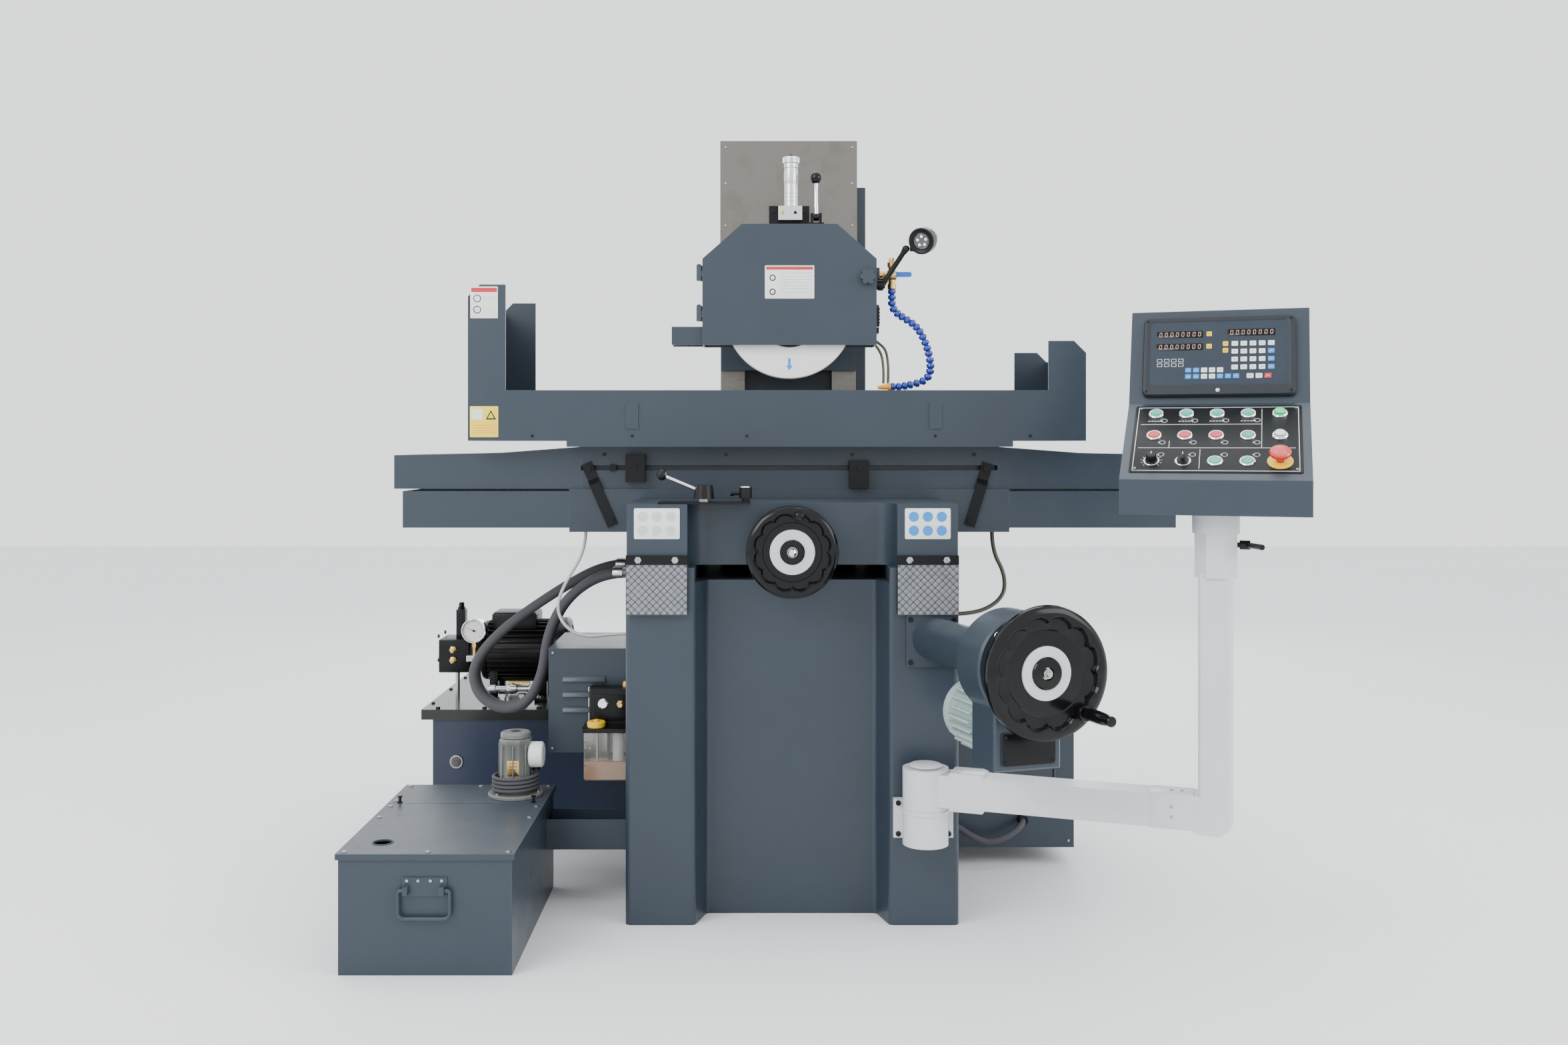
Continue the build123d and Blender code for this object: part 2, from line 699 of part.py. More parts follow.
with BuildPart() as coolant_line:
    rod((tap_x, tap_y, tap_z - 40), (0, 0, 1), 11, 81)
    rod((tap_x - 20, tap_y, tap_z), (1, 0, 0), 14, 38)
    block(guard_x, tap_x - 6, tap_y - 10, tap_y + 10, tap_z - 20, tap_z + 12)
    rod((tap_x, tap_y - 15, tap_z), (0, 1, 0), 4 + fit, 12, Mode.SUBTRACT)
    # the hose's plastic segments grip one another, so it holds its shape and rides with the tap
    cord(hose_route, hose_r)
    with Locations(Plane(origin=hose_route[-1], z_dir=Vector(*hose_route[-1]) - Vector(*hose_route[-2]))):
        Cone(hose_r, 3.5, 30, align=END_AT_START)
coolant_line.part.label = "coolant_line"
export_step(coolant_line.part, "parts/coolant_line.step")

with BuildPart() as valve_handle:
    rod((tap_x, tap_y - 5, tap_z), (0, -1, 0), 4, 12)
    rod((tap_x, tap_y - 15.5, tap_z), (0, -1, 0), 9, 5)
    block(tap_x - 2, tap_x + 46, tap_y - 20.5, tap_y - 17.5, tap_z - 6, tap_z + 6)
valve_handle.part.label = "valve_handle"
export_step(valve_handle.part, "parts/valve_handle.step")

# ---- work lamp on a bent arm at the guard's right side ----

lamp_y = guard_front - 4
lamp_root = (guard_x + 16, lamp_y + 26, guard_z1 - 140)
lamp_elbow = (guard_x + 68, lamp_y - 6, guard_z1 - 60)
lamp_way = Vector(*lamp_elbow) - Vector(*lamp_root)

with BuildPart() as lamp_arm:
    rod((guard_x + gap, lamp_root[1], lamp_root[2]), (1, 0, 0), 13, 22)
    rod(lamp_root, lamp_way, 6, lamp_way.length)
    with Locations(lamp_elbow):
        Sphere(9)
lamp_arm.part.label = "lamp_arm"
export_step(lamp_arm.part, "parts/lamp_arm.step")

lamp_x = guard_x + 100
lamp_z = guard_z1 - 46

with BuildPart() as lamp_head:
    with Locations(Plane(origin=(lamp_x, lamp_y - 34, lamp_z), z_dir=(0.45, 0.85, 0.25))):
        Cylinder(31, 22, align=END_AT_START)
        with Locations((0, 0, 22)):
            Cone(31, 15, 46, align=END_AT_START)
        with Locations((0, 0, 68)):
            Cylinder(11, 16, align=END_AT_START)
    rod((lamp_elbow[0] + 9 + gap, lamp_elbow[1], lamp_elbow[2]), (1, 0, 0), 6, 24)
lamp_head.part.label = "lamp_head"
export_step(lamp_head.part, "parts/lamp_head.step")

# ======== head lift: pipe, gearbox, crank wheel and motor ========

lift_x = half_w - 58
lift_z = way_z - 151
lift_axis = (sin(radians(lift_yaw)), -cos(radians(lift_yaw)), 0)
lift_plane = Plane(
    origin=(lift_x, front_y, lift_z),
    x_dir=(cos(radians(lift_yaw)), sin(radians(lift_yaw)), 0),
    z_dir=lift_axis,
)
box_back = lift_reach - 171
box_front = box_back + 90
boss_front = box_front + 22
box_low = -193


def lift_rod(x, z, start, radius, length, mode=Mode.ADD):
    """Add or cut a cylinder along the lift shaft's direction, from a distance along it."""
    with Locations(lift_plane.offset(start)):
        with Locations((x, z, 0)):
            Cylinder(radius, length, align=END_AT_START, mode=mode)


with BuildPart() as lift_housing:
    lift_rod(0, 0, -20, 46, box_back + 21)
    block(lift_x - 80, lift_x + 80, front_y, front_y + 60, lift_z - 60, lift_z + 60, Mode.SUBTRACT)
    block(lift_x - 57, lift_x + 55, front_y - 12, front_y, lift_z - 60, lift_z + 50)
    with BuildSketch(lift_plane.offset(box_back)):
        Circle(103)
        with Locations((0, box_low / 2)):
            Rectangle(140, -box_low)
    extrude(amount=box_front - box_back)
    chamfer(lift_housing.faces().filter_by(Axis((0, 0, 0), lift_axis)).sort_by(SortBy.AREA)[-1].edges(), 4)
    lift_rod(0, 0, box_front, 44, boss_front - box_front)
    lift_rod(0, 0, box_back + 30, shaft_r + fit, 90, Mode.SUBTRACT)
    with BuildSketch(lift_plane.offset(box_front)):
        with Locations((0, box_low + 42)):
            RectangleRounded(112, 62, 6)
    extrude(amount=4)
lift_housing.part.label = "lift_housing"
export_step(lift_housing.part, "parts/lift_housing.step")

lift_motor_z = box_low + 74
lift_motor_l = 150

with BuildPart() as lift_motor:
    lift_rod(0, lift_motor_z, box_back - lift_motor_l, 66, lift_motor_l)
    with BuildSketch(lift_plane.offset(box_back - lift_motor_l + 12)):
        with Locations((0, lift_motor_z)):
            with PolarLocations(68, 18):
                Rectangle(12, 3)
    extrude(amount=lift_motor_l - 34)
    lift_rod(0, lift_motor_z, box_back - 12, 73, 12)
    block(lift_x + 12, lift_x + 72, front_y - 268, front_y - 196, lift_z - 62, lift_z - 49)
lift_motor.part.label = "lift_motor"
export_step(lift_motor.part, "parts/lift_motor.step")

lift_r = lift_wheel_d / 2
lift_rim = 12
hub_start = boss_front + gap
rim_start = lift_reach - 2 * lift_rim

with BuildPart() as lift_handwheel:
    lift_rod(0, 0, box_back + 40, shaft_r, hub_start - box_back - 40)
    lift_rod(0, 0, hub_start, 36, 22)
    lift_rod(0, 0, hub_start + 22, 24, rim_start + 14 - hub_start - 22)
    with Locations(lift_plane.offset(lift_reach - lift_rim)):
        Torus(lift_r - lift_rim, lift_rim)
    with BuildSketch(lift_plane.offset(rim_start + 6)):
        Circle(lift_r - lift_rim)
        with PolarLocations(lift_r * 0.55, 3, start_angle=90):
            Circle(lift_r * 0.2, mode=Mode.SUBTRACT)
    extrude(amount=9)
    crank_way = radians(-45)
    crank_x = (lift_r - 20) * cos(crank_way)
    crank_z = (lift_r - 20) * sin(crank_way)
    lift_rod(crank_x, crank_z, rim_start + 6, 15, 20)
    lift_rod(crank_x, crank_z, rim_start + 26, 6, 84)
lift_handwheel.part.label = "lift_handwheel"
export_step(lift_handwheel.part, "parts/lift_handwheel.step")

grip_start = rim_start + 26 + gap

with BuildPart() as lift_grip:
    lift_rod(crank_x, crank_z, grip_start, 12, 78)
    lift_rod(crank_x, crank_z, grip_start + 78, 10, 10)
    lift_rod(crank_x, crank_z, grip_start - 1, 6 + fit, 84 + 1.5, Mode.SUBTRACT)
lift_grip.part.label = "lift_grip"
export_step(lift_grip.part, "parts/lift_grip.step")

# ======== swinging arm and control console ========

pivot_x = half_w - 81
pivot_y = front_y - 70
pivot_pin_r = 25
bearing_r = 48
bearing_z0 = way_z - 574
bearing_z1 = bearing_z0 + 76
tube_z0 = bearing_z1 + 11
tube_z1 = tube_z0 + 66
arm_plane = Plane(
    origin=(pivot_x, pivot_y, 0),
    x_dir=(cos(radians(arm_yaw)), sin(radians(arm_yaw)), 0),
    z_dir=(0, 0, 1),
)
arm_side = Plane(origin=arm_plane.origin, x_dir=arm_plane.x_dir, z_dir=-arm_plane.y_dir)

with BuildPart() as arm_bracket:
    rod((pivot_x, pivot_y, bearing_z0), (0, 0, 1), bearing_r, bearing_z1 - bearing_z0)
    block(pivot_x - 40, pivot_x + 40, pivot_y, front_y - 1, bearing_z0 + 4, bearing_z1 - 4)
    block(pivot_x - 62, pivot_x + 66, front_y - 16, front_y, bearing_z0 - 3, bearing_z1 + 4)
    rod((pivot_x, pivot_y, bearing_z0 + 8), (0, 0, 1), pivot_pin_r + fit, bearing_z1 - bearing_z0, Mode.SUBTRACT)
arm_bracket.part.label = "arm_bracket"
export_step(arm_bracket.part, "parts/arm_bracket.step")

sleeve_low = body_z0 - 52
sleeve_top = body_z0 + 34
console_z0 = sleeve_top + 39
pin_r = 24
pin_z1 = console_z0 + 24

with BuildPart() as console_arm:
    rod((pivot_x, pivot_y, bearing_z0 + 10), (0, 0, 1), pivot_pin_r, bearing_z1 - bearing_z0 - 8)
    rod((pivot_x, pivot_y, bearing_z1 + gap), (0, 0, 1), bearing_r, tube_z1 + 8 - bearing_z1 - gap)
    with BuildSketch(arm_side):
        with BuildLine():
            Polyline(
                (30, tube_z0),
                (arm_reach - post_w / 2 - 14, tube_z0),
                (arm_reach - post_w / 2, tube_z0 - 9),
                (arm_reach + post_w / 2 - 22, tube_z0 - 9),
                (arm_reach + post_w / 2, tube_z0 + 13),
                (arm_reach + post_w / 2, sleeve_low + 10),
                (arm_reach - post_w / 2, sleeve_low + 10),
                (arm_reach - post_w / 2, tube_z1),
                (30, tube_z1),
                close=True,
            )
        make_face()
    extrude(amount=post_w / 2, both=True)
    fillet(console_arm.edges().filter_by(Axis.Z).filter_by_position(Axis.Z, 500, 600), 8)
    with BuildSketch(arm_plane.offset(sleeve_low)):
        with Locations((arm_reach, 0)):
            RegularPolygon(43, 8, rotation=22.5)
    extrude(amount=sleeve_top - sleeve_low)
    with BuildSketch(arm_plane.offset(sleeve_top)):
        with Locations((arm_reach, 0)):
            Circle(pin_r)
    extrude(amount=pin_z1 - sleeve_top)
    with Locations(Plane(origin=arm_side.origin, x_dir=arm_plane.y_dir, z_dir=arm_plane.x_dir).offset(arm_reach)):
        with Locations((0, sleeve_top - 22, 22)):
            Cylinder(5 + fit, 30, align=END_AT_START, mode=Mode.SUBTRACT)
console_arm.part.label = "console_arm"
export_step(console_arm.part, "parts/console_arm.step")

# The console's frame stands on the post's axis: x along its width, z to the operator, y up.
post = arm_plane.from_local_coords((arm_reach, 0, 0))
console_plane = Plane(
    origin=(post.X, post.Y, console_z0),
    x_dir=arm_plane.x_dir,
    z_dir=(sin(radians(arm_yaw)), -cos(radians(arm_yaw)), 0),
)
console_side = Plane(
    origin=console_plane.origin,
    x_dir=console_plane.z_dir,
    z_dir=-console_plane.x_dir,
)
lip_h = 68
fold_h = 218
console_h = 414
console_rear = -186
console_lip = 106
fold_out = -98
screen_out = -172
panel_run = console_lip - fold_out
panel_drop = fold_h - lip_h
panel_up = console_plane.y_dir * panel_drop - console_plane.z_dir * panel_run
screen_up = console_plane.y_dir * (console_h - fold_h) - console_plane.z_dir * (fold_out - screen_out)
fold_middle = console_plane.from_local_coords((0, fold_h, fold_out))
panel_plane = Plane(
    origin=fold_middle,
    x_dir=console_plane.x_dir,
    z_dir=console_plane.x_dir.cross(panel_up.normalized()),
)
screen_plane = Plane(
    origin=fold_middle,
    x_dir=console_plane.x_dir,
    z_dir=console_plane.x_dir.cross(screen_up.normalized()),
)


def console_outline(margin):
    """The console's side outline as a face, drawn in by a margin."""
    with BuildSketch() as outline:
        with BuildLine():
            Polyline(
                (console_rear, 0),
                (console_lip, 0),
                (console_lip, lip_h),
                (fold_out, fold_h),
                (screen_out, console_h),
                (console_rear, console_h),
                close=True,
            )
        make_face()
        if margin:
            offset(amount=-margin, kind=Kind.INTERSECTION, mode=Mode.REPLACE)
    return outline.sketch


column_pitch = 59
row_one = -38
row_two = -112
row_three = -196
button_r = 10.8
bezel_r = 14.5
stem_fit = 0.4
knob_spots = {
    "start": [
        (-2, row_one),
        (-1, row_one),
        (0, row_one),
        (1, row_one),
        (1, row_two),
        (0, row_three),
        (1, row_three),
    ],
    "stop": [(-2, row_two), (-1, row_two), (0, row_two)],
}
pilot_spots = [(2, row_one), (2, row_two)]
stop_spot = (2 * column_pitch, row_three)
speed_spot = (-2 * column_pitch, row_three)
mode_spot = (-column_pitch, row_three)

with BuildPart() as console_box:
    with BuildSketch(console_side):
        add(console_outline(0))
    extrude(amount=console_w / 2, both=True)
    with BuildSketch(console_side):
        add(console_outline(sheet))
    extrude(amount=console_w / 2 - sheet, both=True, mode=Mode.SUBTRACT)
    rod((post.X, post.Y, sleeve_top + gap), (0, 0, 1), 45, console_z0 + 40 - sleeve_top - gap)
    rod((post.X, post.Y, sleeve_top), (0, 0, 1), pin_r + fit, pin_z1 + 1 - sleeve_top, Mode.SUBTRACT)
    for column_step, row in knob_spots["start"] + knob_spots["stop"]:
        with Locations(panel_plane):
            with Locations((column_step * column_pitch, row, 0)):
                Cylinder(bezel_r, 2.5, align=END_AT_START)
                Cylinder(button_r + stem_fit, 12, mode=Mode.SUBTRACT)
    for column_step, row in pilot_spots:
        with Locations(panel_plane):
            with Locations((column_step * column_pitch, row, 0)):
                Cylinder(bezel_r, 3, align=END_AT_START)
                Cylinder(bezel_r - 3.5, 9, align=END_AT_START)
    for spot in (stop_spot, speed_spot, mode_spot):
        with Locations(panel_plane):
            with Locations((spot[0], spot[1], 0)):
                Cylinder(23 if spot is stop_spot else 15, 1.5, align=END_AT_START)
                Cylinder(6 + stem_fit, 12, mode=Mode.SUBTRACT)
console_box.part.label = "console_box"
export_step(console_box.part, "parts/console_box.step")

dro_w = 298
dro_h = 176

with BuildPart() as dro_unit:
    with BuildSketch(screen_plane):
        with Locations((0, 14 + dro_h / 2)):
            RectangleRounded(dro_w, dro_h, 5)
    extrude(amount=14)
    with BuildSketch(screen_plane.offset(14)):
        with Locations((-42, 14 + dro_h / 2 + 6)):
            RectangleRounded(dro_w - 110, dro_h - 40, 3)
    extrude(amount=-2, mode=Mode.SUBTRACT)
dro_unit.part.label = "dro_unit"
export_step(dro_unit.part, "parts/dro_unit.step")

lift_proud = 6.5
for group in knob_spots:
    for number, (column_step, row) in enumerate(knob_spots[group], 1):
        name = f"{group}_button_{number}"
        with BuildPart() as push_button:
            with Locations(panel_plane):
                with Locations((column_step * column_pitch, row, -14)):
                    Cylinder(button_r, 14 + lift_proud, align=END_AT_START)
            chamfer(push_button.edges().filter_by(GeomType.CIRCLE).sort_by(Axis.Z)[-1], 1)
        push_button.part.label = name
        export_step(push_button.part, f"parts/{name}.step")


def panel_knob(spot, start, pieces):
    """Stack cylinders, each a radius and a height, on a spot of the sloping panel."""
    for radius, height in pieces:
        with Locations(panel_plane):
            with Locations((spot[0], spot[1], start)):
                Cylinder(radius, height, align=END_AT_START)
        start += height


stop_travel = 5

with BuildPart() as emergency_stop:
    panel_knob(stop_spot, -14, ((6, 14 + 8 + stop_travel), (14, 6), (20, 10)))
    fillet(emergency_stop.edges().filter_by(GeomType.CIRCLE).sort_by(Axis.Z)[-1], 5)
emergency_stop.part.label = "emergency_stop"
export_step(emergency_stop.part, "parts/emergency_stop.step")

with BuildPart() as speed_knob:
    panel_knob(speed_spot, -14, ((6, 14 + 1.5 + gap), (12.5, 4), (10, 13)))
speed_knob.part.label = "speed_knob"
export_step(speed_knob.part, "parts/speed_knob.step")

with BuildPart() as mode_selector:
    panel_knob(mode_spot, -14, ((6, 14 + 1.5 + gap), (11.5, 6)))
    with BuildSketch(panel_plane.offset(7.5 + gap)):
        with Locations(mode_spot):
            RectangleRounded(7, 23, 3)
    extrude(amount=9)
mode_selector.part.label = "mode_selector"
export_step(mode_selector.part, "parts/mode_selector.step")

clamp_z = sleeve_top - 22
clamp_start = 43 * cos(radians(22.5))

with BuildPart() as clamp_lever:
    clamp_plane = Plane(
        origin=(post.X, post.Y, clamp_z),
        x_dir=arm_plane.y_dir,
        z_dir=arm_plane.x_dir,
    )
    with Locations(clamp_plane.offset(clamp_start - 12)):
        Cylinder(5, 12 + 8, align=END_AT_START)
    with Locations(clamp_plane.offset(clamp_start + 4)):
        Cylinder(9, 20, align=END_AT_START)
    lever_root = clamp_plane.from_local_coords((0, 0, clamp_start + 18))
    rod(lever_root, arm_plane.x_dir * 0.45 - arm_plane.y_dir * 0.89, 5.5, 62)
clamp_lever.part.label = "clamp_lever"
export_step(clamp_lever.part, "parts/clamp_lever.step")

# ======== electrical cabinet on the bed's right side ========

cabinet_x1 = half_w + cabinet_w
cabinet_y0 = column_front - 270
cabinet_z0 = 43
cabinet_z1 = cabinet_z0 + cabinet_h
door_x0 = half_w + 12
door_x1 = cabinet_x1 - 51
door_z0 = cabinet_z0 + 107
door_z1 = cabinet_z1 - 17
door_t = 14

with BuildPart() as electrical_cabinet:
    block(half_w, cabinet_x1, cabinet_y0, cabinet_y0 + cabinet_d, cabinet_z0, cabinet_z1)
    block(
        half_w + sheet,
        cabinet_x1 - sheet,
        cabinet_y0 + sheet,
        cabinet_y0 + cabinet_d - sheet,
        cabinet_z0 + sheet,
        cabinet_z1 - sheet,
        Mode.SUBTRACT,
    )
    block(door_x0 + 16, door_x1 - 16, cabinet_y0, cabinet_y0 + sheet, door_z0 + 12, door_z1 - 12, Mode.SUBTRACT)
    rear = cabinet_y0 + cabinet_d - sheet
    block(door_x0 + 20, door_x1 - 20, rear - 4, rear, door_z0 + 20, door_z1 - 20)
    for z in (door_z0 + 70, door_z1 - 110):
        block(door_x0 + 40, door_x1 - 50, rear - 14, rear - 4, z - 8, z + 28)
        for step in range(4):
            x = door_x0 + 46 + step * 46
            block(x, x + 38, rear - 80, rear - 14, z - 30, z + 50)
electrical_cabinet.part.label = "electrical_cabinet"
export_step(electrical_cabinet.part, "parts/electrical_cabinet.step")

with BuildPart() as cabinet_door:
    block(door_x0, door_x1, cabinet_y0 - gap - door_t, cabinet_y0 - gap, door_z0, door_z1)
    block(
        door_x0 + 2,
        door_x1 - 2,
        cabinet_y0 - gap - door_t + 2,
        cabinet_y0 - gap,
        door_z0 + 2,
        door_z1 - 2,
        Mode.SUBTRACT,
    )
    rod((door_x0 + 24, cabinet_y0 - gap - door_t, (door_z0 + door_z1) / 2), (0, -1, 0), 11, 7)
    # hinge barrels along the door's right edge
    for z in (door_z0 + 50, door_z1 - 90):
        rod((door_x1, cabinet_y0 - gap - door_t, z), (0, 0, 1), 4, 40)
cabinet_door.part.label = "cabinet_door"
export_step(cabinet_door.part, "parts/cabinet_door.step")

# ======== hydraulic set on the bed's left side ========

tank_x0 = -half_w - hydraulic_w
tank_y0 = 43
tank_y1 = tank_y0 + hydraulic_d
lid_t = 26
lid_over = 28

with BuildPart() as hydraulic_tank:
    block(tank_x0, -half_w, tank_y0, tank_y1, 0, hydraulic_h - lid_t)
    block(tank_x0 + 4, -half_w - 4, tank_y0 + 4, tank_y1 - 4, 4, hydraulic_h - lid_t, Mode.SUBTRACT)
    block(tank_x0 - lid_over, -half_w, tank_y0 - 8, tank_y1 + 8, hydraulic_h - lid_t, hydraulic_h)
    block(tank_x0 + 4, -half_w - 4, tank_y0 + 4, tank_y1 - 4, hydraulic_h - lid_t, hydraulic_h - 4, Mode.SUBTRACT)
hydraulic_tank.part.label = "hydraulic_tank"
export_step(hydraulic_tank.part, "parts/hydraulic_tank.step")

motor_r = 80
motor_y = tank_y0 + 190
motor_z = hydraulic_h + 125
motor_x0 = tank_x0 + 95
motor_x1 = motor_x0 + 235
pump_x0 = tank_x0 - 17
pump_x1 = tank_x0 + 65

with BuildPart() as hydraulic_power_unit:
    rod((motor_x0, motor_y, motor_z), (1, 0, 0), motor_r, motor_x1 - motor_x0)
    with BuildSketch(Plane.YZ.offset(motor_x0 + 14)):
        with Locations((motor_y, motor_z)):
            with PolarLocations(motor_r + 2, 24):
                Rectangle(14, 3)
    extrude(amount=motor_x1 - motor_x0 - 60)
    rod((motor_x1 - 44, motor_y, motor_z), (1, 0, 0), motor_r + 8, 44)
    terminal_z = motor_z + motor_r - 20
    block(motor_x0 + 30, motor_x0 + 150, motor_y - 50, motor_y + 50, terminal_z, terminal_z + 44)
    for x in (motor_x0 + 20, motor_x0 + 150):
        for side in (-1, 1):
            low, high = sorted((motor_y + side * 38, motor_y + side * 92))
            block(x, x + 34, low, high, hydraulic_h, hydraulic_h + 9)
            low, high = sorted((motor_y + side * 40, motor_y + side * 62))
            block(x + 6, x + 28, low, high, hydraulic_h, motor_z - 40)
    rod((pump_x1, motor_y, motor_z), (1, 0, 0), 48, motor_x0 - pump_x1)
    block(pump_x0, pump_x1, motor_y - 52, motor_y + 52, motor_z - 54, motor_z + 34)
    block(pump_x0 + 42, pump_x0 + 66, motor_y - 30, motor_y + 2, motor_z + 34, motor_z + 112)
    rod((pump_x0 + 54, motor_y - 14, motor_z + 112), (0, 0, 1), 8, 18)
    rod((pump_x0 + 44, motor_y - 18, hydraulic_h), (0, 0, 1), 6, motor_z - hydraulic_h - 50)
    gauge_x = motor_x0 - 10
    gauge_y = motor_y - 78
    block(pump_x1 - 2, gauge_x + 6, gauge_y - 6, gauge_y + 40, motor_z - 20, motor_z - 4)
    rod((gauge_x, gauge_y, motor_z - 8), (0, 0, 1), 6, 44)
    rod((gauge_x, gauge_y + 9, motor_z + 63), (0, -1, 0), 33, 26)
hydraulic_power_unit.part.label = "hydraulic_power_unit"
export_step(hydraulic_power_unit.part, "parts/hydraulic_power_unit.step")

louvre_x0 = -half_w - 208
louvre_y0 = tank_y0 - 300
louvre_y1 = tank_y0 - 20
louvre_z0 = 310
louvre_z1 = 555

with BuildPart() as louvred_box:
    block(louvre_x0, -half_w, louvre_y0, louvre_y1, louvre_z0, louvre_z1)
    block(louvre_x0 + 2, -half_w, louvre_y0 + 2, louvre_y1 - 2, louvre_z0 + 2, louvre_z1 - 2, Mode.SUBTRACT)
    for step in range(3):
        slot_high = louvre_z1 - 72 - 36 * step
        block(louvre_x0 + 34, louvre_x0 + 134, louvre_y0, louvre_y0 + 2, slot_high - 7, slot_high, Mode.SUBTRACT)
louvred_box.part.label = "louvred_box"
export_step(louvred_box.part, "parts/louvred_box.step")

oiler_x0 = -half_w - 118
oiler_x1 = -half_w - 3
oiler_z0 = louvre_z0 - 46
oiler_y0 = louvre_y0 - 100

with BuildPart() as oiler:
    block(oiler_x0 + 4, oiler_x1 - 2, oiler_y0 + 3, louvre_y0 - 5, oiler_z0, oiler_z0 + 112)
    fillet(oiler.edges().filter_by(Axis.Z), 8)
    block(oiler_x0 + 7, oiler_x1 - 5, oiler_y0 + 6, louvre_y0 - 8, oiler_z0 + 3, oiler_z0 + 112, Mode.SUBTRACT)
    block(oiler_x0, oiler_x1, oiler_y0, louvre_y0 - 3, oiler_z0 + 112, oiler_z0 + 120)
    block(oiler_x0 + 12, oiler_x1, oiler_y0 + 42, louvre_y0 - 3, oiler_z0 + 120, oiler_z0 + 219)
    rod((oiler_x0 + 32, oiler_y0 + 22, oiler_z0 + 120), (0, 0, 1), 21, 15)
    block(oiler_x0 + 4, oiler_x1, louvre_y0 - 3, louvre_y0, oiler_z0 + 52, oiler_z0 + 200)
oiler.part.label = "oiler"
export_step(oiler.part, "parts/oiler.step")

# ======== coolant tank with its pump, on the floor beside the bed ========

coolant_x0 = -half_w - 533
coolant_x1 = coolant_x0 + coolant_w
coolant_y1 = tank_y0 - 322
coolant_y0 = coolant_y1 - coolant_d
lid_split = coolant_y1 - 167
bail_x0 = coolant_x0 + 126
bail_x1 = bail_x0 + 87
bail_z = 168
bail_y = coolant_y0 - 10
bail_r = 4

with BuildPart() as coolant_tank:
    block(coolant_x0, coolant_x1, coolant_y0, coolant_y1, 0, coolant_h - sheet)
    block(
        coolant_x0 + sheet,
        coolant_x1 - sheet,
        coolant_y0 + sheet,
        coolant_y1 - sheet,
        sheet,
        coolant_h - sheet,
        Mode.SUBTRACT,
    )
    block(coolant_x0 - 5, coolant_x1 + 5, coolant_y0 - 5, coolant_y1 + 5, coolant_h - 12, coolant_h)
    block(coolant_x0, coolant_x1, coolant_y0, coolant_y1, coolant_h - 12, coolant_h - sheet, Mode.SUBTRACT)
    block(coolant_x0 - 5, coolant_x1 + 5, lid_split - 1, lid_split + 1, coolant_h - 1, coolant_h, Mode.SUBTRACT)
    rod((coolant_x0 + 67, coolant_y0 + 76, coolant_h - sheet), (0, 0, 1), 18, sheet, Mode.SUBTRACT)
    block(bail_x0, bail_x1, coolant_y0 - 4, coolant_y0, bail_z - 12, bail_z + 24)
    for x in (bail_x0 + 8, bail_x1 - 8):
        block(x - 5, x + 5, bail_y - 7, coolant_y0 - 4, bail_z - 8, bail_z + 8)
        rod((x - 5, bail_y, bail_z), (1, 0, 0), bail_r + fit, 10, Mode.SUBTRACT)
    # mouth that the bed's trough pours through
    block(coolant_x1 - sheet, coolant_x1, mouth_y0, mouth_y1, trough_floor, trough_z1 - trough_wall, Mode.SUBTRACT)
coolant_tank.part.label = "coolant_tank"
export_step(coolant_tank.part, "parts/coolant_tank.step")

with BuildPart() as tank_handle:
    with BuildLine() as bail_line:
        FilletPolyline(
            (bail_x0 + 4, bail_y, bail_z),
            (bail_x0 - 7, bail_y, bail_z),
            (bail_x0 - 7, bail_y, bail_z - 55),
            (bail_x1 + 7, bail_y, bail_z - 55),
            (bail_x1 + 7, bail_y, bail_z),
            (bail_x1 - 4, bail_y, bail_z),
            radius=[6, 12, 12, 6],
        )
    with BuildSketch(Plane(origin=bail_line.line @ 0, z_dir=bail_line.line % 0)):
        Circle(bail_r)
    sweep()
    for x in (bail_x0 + 3, bail_x1 - 13):
        rod((x, bail_y, bail_z), (1, 0, 0), bail_r, 10)
tank_handle.part.label = "tank_handle"
export_step(tank_handle.part, "parts/tank_handle.step")

pump_x = coolant_x1 - 73
pump_y = coolant_y1 - 88
pump_flange_r = 62
pump_r = 36

with BuildPart() as coolant_pump:
    rod((pump_x, pump_y, coolant_h), (0, 0, 1), pump_flange_r, 8)
    rod((pump_x, pump_y, coolant_h + 8), (0, 0, 1), 30, 24)
    with BuildSketch(Plane.XY.offset(coolant_h + 30)):
        with Locations((pump_x, pump_y)):
            RegularPolygon(pump_r + 2, 8, rotation=22.5)
    extrude(amount=100)
    rod((pump_x, pump_y, coolant_h + 130), (0, 0, 1), pump_r - 2, 15)
    rod((pump_x + 30, pump_y, coolant_h + 92), (1, 0, 0), 29, 34)
    rod((pump_x + 46, pump_y, coolant_h + 57), (0, 0, 1), 9, 12)
coolant_pump.part.label = "coolant_pump"
export_step(coolant_pump.part, "parts/coolant_pump.step")

coil_r = 50
coil_pitch = 8.8
coil_turns = 4
cord_r = 4
coil_z0 = coolant_h + 8 + cord_r + gap
coil_h = coil_pitch * coil_turns

with BuildPart() as pump_cord_coil:
    with BuildLine() as turns:
        Helix(coil_pitch, coil_h, coil_r, center=(pump_x, pump_y, coil_z0))
    with BuildSketch(Plane(origin=turns.line @ 0, z_dir=turns.line % 0)):
        Circle(cord_r)
    sweep(is_frenet=True)
    cord_length = sqrt((2 * pi * coil_r) ** 2 + coil_pitch**2) * coil_turns
    print("coil radius", cord_r, "length", round(cord_length))
pump_cord_coil.part.label = "pump_cord_coil"
export_step(pump_cord_coil.part, "parts/pump_cord_coil.step")

# ======== hoses and lines ========

